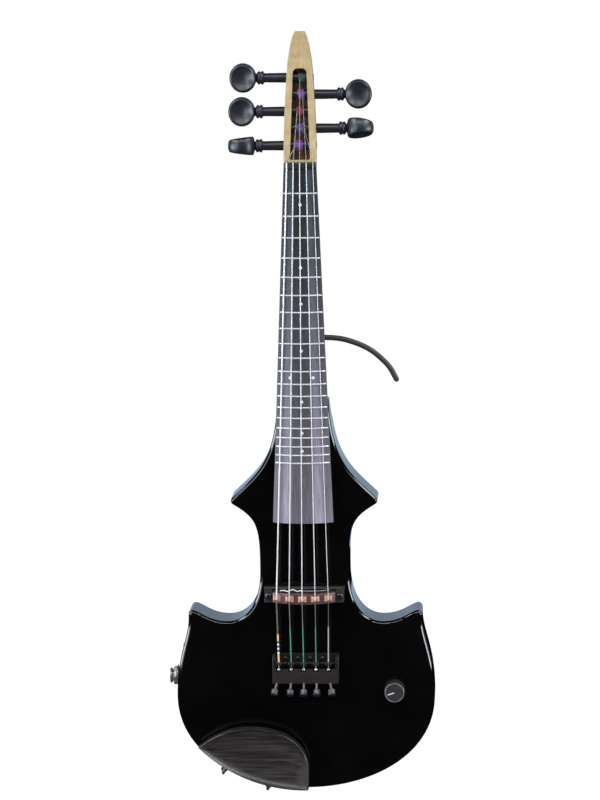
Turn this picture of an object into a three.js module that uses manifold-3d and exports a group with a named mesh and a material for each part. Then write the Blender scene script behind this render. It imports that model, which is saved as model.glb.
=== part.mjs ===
// Five-string fretted electric violin: solid black body, maple neck with an open pegbox,
// violin pegs, arched bridge with separate saddles, fine-tuner tailpiece, clamped chinrest.
// Millimetres. +X to the treble side, +Z towards the head, the front faces -Y.
// Origin: on the flat back of the body, on the centre line, level with the bridge.
// "Height" below always means the distance in front of the back plane.

import * as THREE from 'three';
import { mergeVertices } from 'three/addons/utils/BufferGeometryUtils.js';
import Module from 'manifold-3d';

// ---------------------------------------------------------------- driving dimensions

const scaleLength = 327.1;        // nut to bridge
const compensation = 2.2;         // the bridge stands this far behind the end of the fret rule
const stringCount = 5;
const fretCount = 20;
const gap = 0.3;                  // air left between pieces that touch on the real object

const body = {
  thickness: 38,
  edge: 3,                        // rounded edge
  bottom: -152.05,
  widest: { x: 99.4, z: -79.8 },
  cornerTip: { x: 86.6, z: -15.8, radius: 3.4 },
  shoulder: { x: 60, z: -21.1 },
  waist: { x: 34.2, z: 18 },
  hornTip: { x: 52.8, z: 72.8, radius: 3.4 },
  top: { x: 19.7, z: 151 },
};

const board = {
  thickness: 4.4,                 // at the edges
  crownRadius: 42,
  end: 58.4,
  halfWidthAtNut: 12.45,
  halfWidthAtEnd: 23.05,
  topAtNut: 45.6,
  topAtEnd: 57.3,
};

const nut = { length: 4.5, rise: 0.9 };
const fret = { width: 1.4, rise: 0.9, bite: 0.6 };

const strings = {
  heightAtNut: 47.5,
  heightAtBridge: 64,
  spacingAtNut: 4.95,
  spacingAtBridge: 9.9,
  spacingAtTail: 9.5,
  sideShift: -0.8,                // the string band sits a little towards the bass side at the bridge
  tailEnd: { z: -49.9, height: 50.6 },
  radii: [0.6, 0.46, 0.42, 0.36, 0.22],
};

const heel = { start: 96, halfWidth: 14, floor: 16 };
const pegbox = { start: 333.9, frontAtStart: 42, slope: 0.125, slotTop: 402.9, tip: 429.7 };

// Strings are numbered 1 to 5 from the bass side, and so are their pegs.
// Each peg is pushed in a little more or less: `out` is what that adds to the reach of its head.
const pegs = [
  { side: -1, z: 344.1, turn: 90, wrapAt: -3.6, out: 0.6 },
  { side: -1, z: 369.7, turn: 0, wrapAt: -2.2, out: 0.3 },
  { side: -1, z: 395, turn: 0, wrapAt: 0, out: -0.7 },
  { side: 1, z: 382.4, turn: 0, wrapAt: 2, out: 0 },
  { side: 1, z: 356.9, turn: 74, wrapAt: 3.6, out: 1.3 },
];
const peg = {
  radius: 3.7,
  depth: 8.5,                     // behind the front of the pegbox
  stub: { low: 12.8, high: 10.1 },  // reach of the thin end, low and high on the pegbox
  collarFrom: 28.1,
  collarTo: 33.3,
  headAt: 44,
  head: { along: 10, thick: 6.2, wide: 11.2 },
};

const bridge = { halfWidth: 31.3, from: -5, to: 7, plateTop: 42.8, screwAt: 27.2, barHalfWidth: 24.1 };
const bar = { from: -3.6, to: 4.4, depth: 5.5 };
const saddle = { width: 6.5, length: 4.8, height: 2.8, below: 1.1, z: 0.9 };
const leadHole = { x: 19.5, z: 5.7, radius: 0.8 };

const tail = {
  left: -24.8,
  right: 26,
  from: -66.9,
  to: -45.2,
  plateTop: 41.6,
  top: 51.2,
  wall: 2.5,
  lid: 10.3,                      // the top plate starts this far behind the front of the frame
  pinZ: -52,
  pinHeight: 45.4,
};
const tuner = {
  tilt: 35,                       // degrees away from straight down, towards the front
  fan: [-0.21, -0.05, 0, 0.03, 0.16],  // sideways lean of each screw
  tipZ: -60.2,
  tipHeight: 45.6,
  shaft: 1.2,
  headFrom: 13.5,
  headTo: 18.3,
  head: 2.9,
};

const volume = { x: 68.6, z: -74, knobRadius: 8, knobTop: 51 };
const cavity = { left: 38, right: 80, bottom: -104, top: -51.5, floor: 30, rim: 4, rebate: 2.3 };
const jack = {
  z: -67,
  height: 19,
  bore: 3.3,
  barrel: 4.7,
  outerEnd: -106,
  innerEnd: -76,
  flange: { radius: 5.9, thickness: 1.6 },
  nut: { radius: 7.6, from: -103.2, to: -99.7 },
};

const sidePlate = { x: -94.1, z: -41.9, length: 12.5, width: 18, thickness: 1.2, tilt: 0.25 };

const chinrest = { underside: 45.2, top: 56.5, dish: 5 };
const clamp = {
  rod: 1.2,
  posts: [{ x: -64.4, z: -139.5 }, { x: -30.1, z: -152.2 }],
  roots: [{ x: -58.6, z: -125.5 }, { x: -27.6, z: -126 }],
  legHeight: 43.2,
  barrel: 2.7,
  barrelFrom: 10.5,
  barrelTo: 27.5,
  footBack: -4.5,
};

const arm = { radius: 2.1, height: 25, neckZ: 196.9 };

const wood = { maple: 0xcbb187, ebony: 0x262329, rosewood: 0x3b2f30, bar: 0x8a5f57 };
const finish = {
  blackGloss: material(0x08080a, 0.12, 0),
  maple: material(wood.maple, 0.45, 0),
  ebony: material(wood.ebony, 0.5, 0),
  rosewood: material(wood.rosewood, 0.4, 0),
  barWood: material(wood.bar, 0.4, 0.2),
  steel: material(0xc9cbd0, 0.25, 1),
  copper: material(0xd79a78, 0.3, 1),
  blackMetal: material(0x1c1b1f, 0.4, 0.8),
  plastic: material(0x1b1c20, 0.5, 0),
  rubber: material(0x1f1d20, 0.85, 0),
  circuit: material(0x1e5a38, 0.5, 0.1),
  batteryCase: material(0x3b3f46, 0.4, 0.3),
  lead: material(0xe8e6e0, 0.5, 0),
};

const wasm = await Module();
wasm.setup();
const model = new THREE.Group();

// ---------------------------------------------------------------- general helpers

function material(color, roughness, metalness) {
  return new THREE.MeshStandardMaterial({ color, roughness, metalness });
}

function mix(a, b, share) {
  return a + (b - a) * share;
}

// A world point from a side position, a height in front of the back plane, and a level.
function at(x, height, z) {
  return new THREE.Vector3(x, -height, z);
}

// Shared corners only, no slivers, faces pointing out.
function closed(source) {
  const bare = source.clone();
  bare.deleteAttribute('normal');
  bare.deleteAttribute('uv');
  const merged = mergeVertices(bare, 1e-4);
  const place = merged.getAttribute('position');
  const corner = [0, 1, 2].map(() => new THREE.Vector3());
  const faces = [];
  let volumeSum = 0;
  for (let i = 0; i < merged.index.count; i += 3) {
    const face = [0, 1, 2].map((k) => merged.index.getX(i + k));
    if (new Set(face).size < 3) continue;
    faces.push(face);
    face.forEach((vertex, k) => corner[k].fromBufferAttribute(place, vertex));
    volumeSum += corner[0].dot(corner[1].clone().cross(corner[2]));
  }
  if (volumeSum < 0) faces.forEach((face) => face.reverse());
  const result = new THREE.BufferGeometry();
  result.setAttribute('position', place.clone());
  result.setIndex(faces.flat());
  return result;
}

function toSolid(geometry) {
  const mesh = closed(geometry);
  return new wasm.Manifold(new wasm.Mesh({
    numProp: 3,
    vertProperties: new Float32Array(mesh.getAttribute('position').array),
    triVerts: new Uint32Array(mesh.index.array),
  }));
}

function toGeometry(solid) {
  const mesh = solid.getMesh();
  const geometry = new THREE.BufferGeometry();
  geometry.setAttribute('position', new THREE.BufferAttribute(new Float32Array(mesh.vertProperties), 3));
  geometry.setIndex(Array.from(mesh.triVerts));
  return geometry;
}

function join(...pieces) {
  return toGeometry(pieces.map(toSolid).reduce((sum, piece) => sum.add(piece)));
}

function cut(piece, ...tools) {
  return toGeometry(tools.map(toSolid).reduce((rest, tool) => rest.subtract(tool), toSolid(piece)));
}

function addPart(name, geometry, surface) {
  const mesh = new THREE.Mesh(closed(geometry), surface);
  mesh.geometry.computeVertexNormals();
  mesh.name = name;
  model.add(mesh);
}

// A front-view outline (x, z) made solid between two heights, with rounded edges if asked.
function plate(outline, low, high, edge = 0, curveSegments = 8, bevelSegments = 2) {
  const geometry = new THREE.ExtrudeGeometry(outline, {
    depth: high - low - 2 * edge,
    curveSegments,
    bevelEnabled: edge > 0,
    bevelThickness: edge,
    bevelSize: edge,
    bevelOffset: -edge,
    bevelSegments,
  });
  geometry.rotateX(Math.PI / 2);
  geometry.translate(0, -(low + edge), 0);
  return geometry;
}

// A cross-section outline (x, height) made solid between two levels.
function slice(outline, fromZ, toZ, curveSegments = 8) {
  const depth = toZ - fromZ;
  const geometry = new THREE.ExtrudeGeometry(outline, { depth, curveSegments, bevelEnabled: false });
  geometry.scale(1, -1, 1);
  geometry.translate(0, 0, fromZ);
  return geometry;
}

// A side-view outline (z, height) made solid across the width.
function profile(outline, fromX, toX, curveSegments = 8) {
  const depth = toX - fromX;
  const geometry = new THREE.ExtrudeGeometry(outline, { depth, curveSegments, bevelEnabled: false });
  const turn = new THREE.Matrix4().makeBasis(
    new THREE.Vector3(0, 0, 1), new THREE.Vector3(0, -1, 0), new THREE.Vector3(1, 0, 0));
  geometry.applyMatrix4(turn);
  geometry.translate(fromX, 0, 0);
  return geometry;
}

function block(x0, x1, low, high, z0, z1) {
  const geometry = new THREE.BoxGeometry(x1 - x0, high - low, z1 - z0);
  geometry.translate((x0 + x1) / 2, -(low + high) / 2, (z0 + z1) / 2);
  return geometry;
}

function aim(geometry, from, to) {
  const direction = to.clone().sub(from).normalize();
  const turn = new THREE.Quaternion().setFromUnitVectors(new THREE.Vector3(0, 1, 0), direction);
  geometry.applyQuaternion(turn);
  geometry.translate(from.x, from.y, from.z);
  return geometry;
}

function rod(from, to, radius, sides = 16) {
  const length = from.distanceTo(to);
  const geometry = new THREE.CylinderGeometry(radius, radius, length, sides);
  geometry.translate(0, length / 2, 0);
  return aim(geometry, from, to);
}

// Turned piece: profile pairs are [radius, distance from the start], beginning and ending on the axis.
function turned(pairs, from, to, sides = 20) {
  const points = pairs.map(([radius, along]) => new THREE.Vector2(radius, along));
  return aim(new THREE.LatheGeometry(points, sides), from, to);
}

function roundedBox(x0, x1, z0, z1, radius) {
  const shape = new THREE.Shape();
  shape.moveTo(x0 + radius, z0);
  shape.absarc(x1 - radius, z0 + radius, radius, -Math.PI / 2, 0);
  shape.absarc(x1 - radius, z1 - radius, radius, 0, Math.PI / 2);
  shape.absarc(x0 + radius, z1 - radius, radius, Math.PI / 2, Math.PI);
  shape.absarc(x0 + radius, z0 + radius, radius, Math.PI, Math.PI * 1.5);
  return shape;
}

function polygon(...points) {
  return new THREE.Shape(points.map(([x, y]) => new THREE.Vector2(x, y)));
}

function circle(radius) {
  return new THREE.Shape().absarc(0, 0, radius, 0, Math.PI * 2);
}

// A section drawn once and carried through stations: place(x, y, k) gives each corner at station k.
function loft(section, stations, place, curveSegments) {
  const steps = stations - 1;
  const options = { depth: steps, steps, curveSegments, bevelEnabled: false };
  const geometry = new THREE.ExtrudeGeometry(section, options);
  const position = geometry.getAttribute('position');
  for (let i = 0; i < position.count; i += 1) {
    const k = Math.round(position.getZ(i));
    const point = place(position.getX(i), position.getY(i), k);
    position.setXYZ(i, point.x, point.y, point.z);
  }
  return geometry;
}

// ---------------------------------------------------------------- shared geometry of the playing surfaces

function sag(x, radius = board.crownRadius) {
  return radius - Math.sqrt(radius * radius - x * x);
}

function boardShare(z) {
  return (scaleLength - z) / (scaleLength - board.end);
}

function boardHalfWidth(z) {
  return mix(board.halfWidthAtNut, board.halfWidthAtEnd, boardShare(z));
}

function boardTop(z) {
  return mix(board.topAtNut, board.topAtEnd, boardShare(z));
}

function boardUnderside(z) {
  const atNut = board.topAtNut - sag(board.halfWidthAtNut) - board.thickness;
  const atEnd = board.topAtEnd - sag(board.halfWidthAtEnd) - board.thickness;
  return mix(atNut, atEnd, boardShare(z));
}

function pegboxFront(z) {
  return pegbox.frontAtStart - (z - pegbox.start) * pegbox.slope;
}

function pegHeight(z) {
  return pegboxFront(z) - peg.depth;
}

function fretLevel(n) {
  return compensation + (scaleLength - compensation) * 2 ** (-n / 12);
}

// The fixed places of string n (0 to 4), from its peg to the tailpiece.
function stringPlaces(n) {
  const offset = n - (stringCount - 1) / 2;
  const nutX = offset * strings.spacingAtNut;
  const bridgeX = offset * strings.spacingAtBridge + strings.sideShift;
  const onPeg = pegs[n];
  const radius = strings.radii[n];
  return {
    peg: at(onPeg.wrapAt, pegHeight(onPeg.z) + peg.radius + radius + 2 * gap, onPeg.z),
    nutHead: at(nutX, strings.heightAtNut - sag(nutX), scaleLength + nut.length + gap),
    nut: at(nutX, strings.heightAtNut - sag(nutX), scaleLength),
    bridge: at(bridgeX, strings.heightAtBridge - sag(bridgeX), 0),
    tail: at(offset * strings.spacingAtTail + strings.sideShift, strings.tailEnd.height, strings.tailEnd.z),
  };
}

// ---------------------------------------------------------------- body, cover and fasteners of the back

function bodyOutline() {
  const { bottom, widest, cornerTip, shoulder, waist, hornTip, top } = body;
  const quarter = Math.PI / 2;
  const hornStart = -quarter * 0.67;
  const underHorn = new THREE.Vector2(hornTip.radius, 0).rotateAround(new THREE.Vector2(), hornStart);
  const right = new THREE.Path();
  right.moveTo(0, bottom);
  right.bezierCurveTo(50.5, bottom, widest.x, -125.6, widest.x, widest.z);
  right.bezierCurveTo(widest.x, -46, 88.9, -33, cornerTip.x + cornerTip.radius, cornerTip.z);
  right.absarc(cornerTip.x, cornerTip.z, cornerTip.radius, 0, quarter * 1.2);
  right.bezierCurveTo(80, -14, 73.2, shoulder.z, shoulder.x, shoulder.z);
  right.bezierCurveTo(45, shoulder.z, waist.x, -7, waist.x, waist.z);
  right.bezierCurveTo(waist.x, 53.4, 35.8, 58.5, hornTip.x + underHorn.x, hornTip.z + underHorn.y);
  right.absarc(hornTip.x, hornTip.z, hornTip.radius, hornStart, quarter * 0.5);
  right.bezierCurveTo(36.5, 93.3, 21.6, 102.4, top.x, top.z);
  const points = right.getPoints(7);
  const mirrored = points.slice(1).reverse().map((point) => new THREE.Vector2(-point.x, point.y));
  return new THREE.Shape([...points, ...mirrored]);
}

// Smooth relief behind the neck joint, where the playing hand reaches the body.
function handRelief() {
  const shape = new THREE.Shape();
  shape.moveTo(126, -1);
  shape.bezierCurveTo(134, 1, 142, 20, body.top.z + 2, 22);
  shape.lineTo(body.top.z + 2, -1);
  return profile(shape, -30, 30, 6);
}

const neckScrewPlaces = [[-8, 103], [8, 103], [-8, 119], [8, 119]];
const coverScrewPlaces = [
  [cavity.left - 1, cavity.bottom - 1],
  [cavity.right + 1, cavity.bottom - 1],
  [cavity.left - 1, cavity.top + 1],
  [cavity.right + 1, cavity.top + 1],
];
const coverScrew = { shaft: 1.2, head: 2.3, length: 10 };
const neckScrew = { shaft: 2.1, head: 4, length: 34 };
const bridgeScrew = { shaft: 1.4, head: 2.7, depth: 24, under: 50.2 };

function addBody() {
  const outline = bodyOutline();
  const rim = cavity.rim;
  const coverRebate = roundedBox(
    cavity.left - rim - gap, cavity.right + rim + gap, cavity.bottom - rim - gap, cavity.top + rim + gap, 5);
  const tools = [
    handRelief(),
    block(-heel.halfWidth - gap, heel.halfWidth + gap, heel.floor - gap, 60, heel.start - gap, 160),
    plate(coverRebate, -1, cavity.rebate, 0, 3),
    plate(roundedBox(cavity.left, cavity.right, cavity.bottom, cavity.top, 4), 1, cavity.floor, 0, 3),
    rod(at(volume.x, cavity.floor - 1, volume.z), at(volume.x, 40, volume.z), 4.1),
    rod(at(-110, jack.height, jack.z), at(jack.innerEnd + gap, jack.height, jack.z), jack.barrel + gap),
    rod(at(jack.innerEnd - 1, jack.height, jack.z), at(cavity.left + 1, jack.height, jack.z), 3.5, 12),
    rod(at(leadHole.x, 30, leadHole.z), at(leadHole.x, 40, leadHole.z), leadHole.radius, 12),
    sidePlateBlock(gap),
  ];
  for (const [x, z] of coverScrewPlaces) {
    tools.push(rod(at(x, 1, z), at(x, coverScrew.length + 1, z), coverScrew.shaft + gap, 10));
  }
  for (const [x, z] of neckScrewPlaces) {
    tools.push(rod(at(x, -1, z), at(x, heel.floor + 1, z), neckScrew.shaft + gap, 12));
  }
  for (const side of [-1, 1]) {
    const x = side * bridge.screwAt;
    tools.push(rod(at(x, bridgeScrew.depth - 1, 1), at(x, 40, 1), bridgeScrew.shaft + gap, 10));
  }
  addPart('body', cut(plate(outline, 0, body.thickness, body.edge), ...tools), finish.blackGloss);
}

function addCavityCover() {
  const rim = cavity.rim;
  const outline = roundedBox(cavity.left - rim, cavity.right + rim, cavity.bottom - rim, cavity.top + rim, 5);
  const holes = coverScrewPlaces.map(([x, z]) => rod(at(x, -1, z), at(x, 3, z), coverScrew.shaft + gap, 10));
  addPart('cavity_cover', cut(plate(outline, 0.1, cavity.rebate - gap, 0, 3), ...holes), finish.plastic);
}

// Pan-head screw: the head's underside is at the start of the shaft.
function screw(from, to, shaft, head, headHeight) {
  const length = from.distanceTo(to);
  const pairs = [
    [0, -headHeight], [head * 0.6, -headHeight], [head, -headHeight * 0.45], [head, 0],
    [shaft, 0], [shaft, length - shaft], [0, length],
  ];
  return turned(pairs, from, to, 10);
}

function addBackScrews() {
  coverScrewPlaces.forEach(([x, z], i) => {
    const geometry = screw(at(x, 0, z), at(x, coverScrew.length, z), coverScrew.shaft, coverScrew.head, 0.9);
    addPart(`cover_screw_${i + 1}`, geometry, finish.blackMetal);
  });
  neckScrewPlaces.forEach(([x, z], i) => {
    const geometry = screw(at(x, -0.1, z), at(x, neckScrew.length, z), neckScrew.shaft, neckScrew.head, 1.6);
    addPart(`neck_screw_${i + 1}`, geometry, finish.steel);
  });
}

// ---------------------------------------------------------------- neck, fingerboard and nut

// Neck stations from the heel to the tip: [level, half width, front height, back height, squareness].
function neckStations() {
  const list = [];
  const onNeck = (z, back, halfWidth, squareness) => {
    list.push([z, halfWidth, boardUnderside(z) - gap, back, squareness]);
  };
  onNeck(heel.start, heel.floor, heel.halfWidth, 12);
  onNeck(151.5, heel.floor, heel.halfWidth, 12);
  const heelCurve = [[154, 16.6, 0.2], [158, 18.6, 0.5], [163, 22, 0.8], [169, 25.6, 0.95], [177, 28.4, 1]];
  for (const [z, back, share] of heelCurve) {
    onNeck(z, back, mix(heel.halfWidth, boardHalfWidth(z) - 0.3, share), mix(6, 2.3, share));
  }
  for (const z of [190, 220, 255, 290, 312]) {
    onNeck(z, mix(29.6, 27.4, (z - 190) / 122), boardHalfWidth(z) - 0.3, 2.2);
  }
  const box = [
    [322, 12.4, 26, 2.6], [330, 12.4, 23, 3.6], [337, 12.45, 20.6, 5], [346, 12.3, 18.8, 6],
    [359, 12, 16.2, 6], [373, 11.4, 13.6, 6], [387, 10.6, 11.6, 6], [397, 9.9, 10.6, 6], [406, 9.2, 10.4, 5],
    [413, 8.2, 11, 5], [420, 7, 12.4, 4.5], [425.6, 5.6, 14.2, 4], [pegbox.tip, 4.1, 16, 4],
  ];
  for (const [z, halfWidth, back, squareness] of box) {
    const front = z < scaleLength + nut.length + gap ? boardUnderside(z) - gap : pegboxFront(z);
    list.push([z, halfWidth, front, back, squareness]);
    if (z === 330) {
      const edge = scaleLength + nut.length + gap;
      list.push([edge, halfWidth, boardUnderside(edge) - gap, back - 0.8, squareness]);
      list.push([edge + 0.1, halfWidth, pegboxFront(edge), back - 0.8, squareness]);
    }
  }
  return list;
}

function superellipse(value, squareness) {
  return Math.sign(value) * Math.abs(value) ** (2 / squareness);
}

function neckBlank() {
  const stations = neckStations();
  const section = new THREE.Shape();
  section.absarc(0, 0, 1, Math.PI, Math.PI * 2);
  return loft(section, stations.length, (x, y, k) => {
    const [z, halfWidth, front, back, squareness] = stations[k];
    const depth = superellipse(Math.min(y, 0), squareness) * (front - back);
    return at(superellipse(x, squareness) * halfWidth, front + depth, z);
  }, 6);
}

// The open slot between the pegbox cheeks, with a round top end and square lower corners.
function pegboxSlot() {
  const length = pegbox.slotTop - pegbox.start;
  const low = 7.65;
  const high = 5.3;
  const shape = new THREE.Shape();
  shape.moveTo(-low + 0.8, 0);
  shape.lineTo(low - 0.8, 0);
  shape.quadraticCurveTo(low, 0, low - 0.1, 3);
  shape.lineTo(high, length - 4);
  shape.quadraticCurveTo(high, length, high - 3.5, length);
  shape.lineTo(-high + 3.5, length);
  shape.quadraticCurveTo(-high, length, -high, length - 4);
  shape.lineTo(-low + 0.1, 3);
  shape.quadraticCurveTo(-low, 0, -low + 0.8, 0);
  const geometry = plate(shape, -17.5, 12, 0, 4);
  geometry.rotateX(-Math.atan(pegbox.slope));
  geometry.translate(0, -pegboxFront(pegbox.start), pegbox.start);
  return geometry;
}

function addNeck() {
  const tools = [pegboxSlot()];
  for (const { z } of pegs) {
    tools.push(rod(at(-20, pegHeight(z), z), at(20, pegHeight(z), z), peg.radius + 0.25, 14));
  }
  for (const [x, z] of neckScrewPlaces) {
    tools.push(rod(at(x, heel.floor - 1, z), at(x, neckScrew.length + 1, z), neckScrew.shaft + gap, 12));
  }
  addPart('neck', cut(neckBlank(), ...tools), finish.maple);
}

// Crowned slab: x runs from -1 to 1 across the board, y is 0 underneath and 1 on the playing surface.
function boardBlank() {
  const slices = 8;
  const points = [];
  for (let i = 0; i <= slices; i += 1) points.push(new THREE.Vector2(mix(1, -1, i / slices), 1));
  const section = new THREE.Shape([new THREE.Vector2(-1, 0), new THREE.Vector2(1, 0), ...points]);
  const stations = 4;
  return loft(section, stations, (x, y, k) => {
    const z = mix(board.end, scaleLength, k / (stations - 1));
    const side = x * boardHalfWidth(z);
    return at(side, y > 0.5 ? boardTop(z) - sag(side) : boardUnderside(z), z);
  }, 1);
}

// Crown wire set across the board, following its curve.
function crownStrip(z, halfWidth, low, high, length) {
  const slices = 6;
  const upper = [];
  const lower = [];
  for (let i = 0; i <= slices; i += 1) {
    const x = mix(-halfWidth, halfWidth, i / slices);
    upper.push([x, high - sag(x)]);
    lower.push([x, low - sag(x)]);
  }
  return slice(polygon(...lower, ...upper.reverse()), z - length / 2, z + length / 2, 1);
}

function addFingerboard() {
  const pieces = [boardBlank()];
  for (let n = 1; n <= fretCount; n += 1) {
    const z = fretLevel(n);
    const top = boardTop(z);
    pieces.push(crownStrip(z, boardHalfWidth(z) - 0.4, top - fret.bite, top + fret.rise, fret.width));
  }
  addPart('fingerboard', join(...pieces), finish.ebony);
}

function addNut() {
  const low = boardUnderside(scaleLength) + 0.1;
  const high = board.topAtNut + nut.rise;
  const halfWidth = board.halfWidthAtNut;
  const crown = [];
  for (let i = 0; i <= 10; i += 1) {
    const x = mix(halfWidth, -halfWidth, i / 10);
    crown.push([x, high - sag(x)]);
  }
  const outline = polygon([-halfWidth, low], [halfWidth, low], ...crown);
  addPart('nut', slice(outline, scaleLength + 0.1, scaleLength + nut.length, 1), finish.ebony);
}

// ---------------------------------------------------------------- pegs and strings

// Violin peg: tapered shaft through both cheeks, double-ring collar, flattened round head.
function pegGeometry({ side, z, turn, out }) {
  const height = pegHeight(z);
  const stub = -mix(peg.stub.low, peg.stub.high, (z - 340) / 60);
  const r = peg.radius;
  const [collarFrom, collarTo, headAt] = [peg.collarFrom + out, peg.collarTo + out, peg.headAt + out];
  const from = at(side * stub, height, z);
  const reach = (along) => along - stub;
  const shaftAndCollar = turned([
    [0, 0], [r - 0.6, 0], [r - 0.25, 0.8], [r, reach(0)], [r, reach(collarFrom - 0.8)],
    [r + 0.5, reach(collarFrom)], [r + 1.4, reach(collarFrom + 0.6)], [r + 1.4, reach(collarFrom + 2)],
    [r + 0.6, reach(collarFrom + 2.5)], [r + 1.3, reach(collarFrom + 3)], [r + 1.3, reach(collarTo - 0.9)],
    [r - 0.2, reach(collarTo)], [r - 0.8, reach(collarTo + 1.5)],
    [r - 0.6, reach(headAt - 4)], [0, reach(headAt)],
  ], from, at(side * 60, height, z), 10);
  const head = new THREE.SphereGeometry(1, 12, 8);
  head.scale(peg.head.along, peg.head.thick, peg.head.wide);
  head.rotateX(THREE.MathUtils.degToRad(turn));
  head.translate(side * headAt, -height, z);
  return join(shaftAndCollar, head);
}

function addPegs() {
  pegs.forEach((place, i) => addPart(`peg_${i + 1}`, pegGeometry(place), finish.ebony));
}

function addStrings() {
  for (let n = 0; n < stringCount; n += 1) {
    const places = stringPlaces(n);
    const route = [places.tail, places.bridge, places.nut, places.nutHead, places.peg];
    const geometry = loft(circle(strings.radii[n]), route.length, (x, y, k) => {
      return new THREE.Vector3(x, y, 0).add(route[k]);
    }, 4);
    addPart(`string_${n + 1}`, geometry, finish.steel);
  }
}

// ---------------------------------------------------------------- bridge, saddles and pickup lead

function addBridge() {
  const { halfWidth, from, to, plateTop, screwAt } = bridge;
  const blocks = [-1, 1].map((side) => {
    const inner = side * (bridge.barHalfWidth + gap);
    const outline = polygon([inner, plateTop - 1], [side * (halfWidth - 0.4), plateTop - 1],
      [side * (halfWidth - 1), bridgeScrew.under - 0.1], [inner, bridgeScrew.under - 0.1]);
    return slice(outline, from + 1.5, to - 1.5, 1);
  });
  const holes = [-1, 1].map((side) => {
    return rod(at(side * screwAt, 30, 1), at(side * screwAt, 55, 1), bridgeScrew.shaft + gap, 10);
  });
  holes.push(rod(at(leadHole.x, 36, leadHole.z), at(leadHole.x, 45, leadHole.z), leadHole.radius, 12));
  const base = join(block(-halfWidth, halfWidth, body.thickness + 0.1, plateTop, from, to), ...blocks);
  addPart('bridge_base', cut(base, ...holes), finish.blackMetal);
  for (const side of [-1, 1]) {
    const geometry = screw(at(side * screwAt, bridgeScrew.under, 1), at(side * screwAt, bridgeScrew.depth, 1),
      bridgeScrew.shaft, bridgeScrew.head, 1.6);
    addPart(`bridge_screw_${side < 0 ? 1 : 2}`, geometry, finish.steel);
  }
}

// Arched bar that stands on two feet between the end blocks and carries the saddles.
function addBridgeBar() {
  const top = strings.heightAtBridge - saddle.below - saddle.height - 0.1;
  const outerRadius = board.crownRadius - (strings.heightAtBridge - top);
  const innerRadius = outerRadius - bar.depth;
  const centre = strings.heightAtBridge - board.crownRadius;
  const foot = { outer: bridge.barHalfWidth, inner: 18.5, low: bridge.plateTop + 0.1 };
  const arc = (radius, x) => centre + Math.sqrt(radius * radius - x * x);
  const outline = [[foot.outer, foot.low], [foot.outer, arc(outerRadius, foot.outer)]];
  const slices = 16;
  for (let i = 1; i < slices; i += 1) {
    const x = mix(foot.outer, -foot.outer, i / slices);
    outline.push([x, arc(outerRadius, x)]);
  }
  outline.push([-foot.outer, arc(outerRadius, foot.outer)], [-foot.outer, foot.low], [-foot.inner, foot.low]);
  for (let i = 0; i <= slices; i += 1) {
    const x = mix(-foot.inner, foot.inner, i / slices);
    outline.push([x, arc(innerRadius, x)]);
  }
  outline.push([foot.inner, foot.low]);
  addPart('bridge_bar', slice(polygon(...outline), bar.from, bar.to, 1), finish.barWood);
}

// Each saddle lies on the curve of the bar, under its string.
function addSaddles() {
  const { width, length, height, below } = saddle;
  for (let n = 0; n < stringCount; n += 1) {
    const x = stringPlaces(n).bridge.x;
    const outline = polygon([-width / 2, 0], [width / 2, 0], [width / 2 - 0.7, height], [0.9, height],
      [0.5, height - 0.35], [-0.5, height - 0.35], [-0.9, height], [-width / 2 + 0.7, height]);
    const geometry = slice(outline, saddle.z - length / 2, saddle.z + length / 2, 1);
    const radius = board.crownRadius - below - height;
    geometry.translate(0, -radius, 0);
    geometry.rotateZ(Math.asin(x / (radius + height / 2)));
    geometry.translate(0, -(strings.heightAtBridge - board.crownRadius), 0);
    addPart(`saddle_${n + 1}`, geometry, finish.copper);
  }
}

// Thin lead from the saddles' pickups, lying behind the bar and going down through the base into the body.
function addPickupLead() {
  const route = [
    at(-18, 50.8, 5.8), at(-10, 53.6, 5.9), at(-2, 54.4, 5.7), at(6, 54.2, 5.9),
    at(13, 52.4, 5.7), at(18, 48.6, 5.7), at(leadHole.x, 44.5, leadHole.z), at(leadHole.x, 32, leadHole.z),
  ];
  const path = new THREE.CatmullRomCurve3(route, false, 'centripetal');
  const section = circle(0.45);
  const geometry = new THREE.ExtrudeGeometry(section, { steps: 18, extrudePath: path, curveSegments: 3 });
  addPart('pickup_lead', geometry, finish.lead);
}

// ---------------------------------------------------------------- tailpiece with fine tuners

function tailX(n) {
  return stringPlaces(n).tail.x;
}

// Outward direction of a tuner screw: down, leaning to the front, and fanned to the sides.
function tunerDirection(n) {
  const lean = THREE.MathUtils.degToRad(tuner.tilt);
  return new THREE.Vector3(tuner.fan[n], -Math.sin(lean), -Math.cos(lean)).normalize();
}

function addTailpiece() {
  const { left, right, from, to, plateTop, top, wall, lid, pinZ, pinHeight } = tail;
  const sides = [left, right - wall].map((x0) => {
    const outline = polygon([from, plateTop - 1], [to, plateTop - 1], [to, 45.5], [to - 2.5, 48.5],
      [to - lid + 0.8, top], [from, top]);
    return profile(outline, x0, x0 + wall, 1);
  });
  const frame = join(
    block(left, right, body.thickness + 0.1, plateTop, from, to),
    ...sides,
    block(left + 1, right - 1, top - 3, top, from, to - lid),
    block(left + 1, right - 1, plateTop - 1, top - 1, from, from + 2.4),
  );
  const holes = [rod(at(-30, pinHeight, pinZ), at(30, pinHeight, pinZ), 1 + gap, 12)];
  for (let n = 0; n < stringCount; n += 1) {
    const tip = at(tailX(n), tuner.tipHeight, tuner.tipZ);
    holes.push(rod(tip, tip.clone().addScaledVector(tunerDirection(n), 16), tuner.shaft + gap, 12));
  }
  addPart('tailpiece_frame', cut(frame, ...holes), finish.blackMetal);
  const pin = rod(at(left + 0.2, pinHeight, pinZ), at(right - 0.2, pinHeight, pinZ), 1, 12);
  addPart('lever_pin', pin, finish.steel);
}

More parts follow.
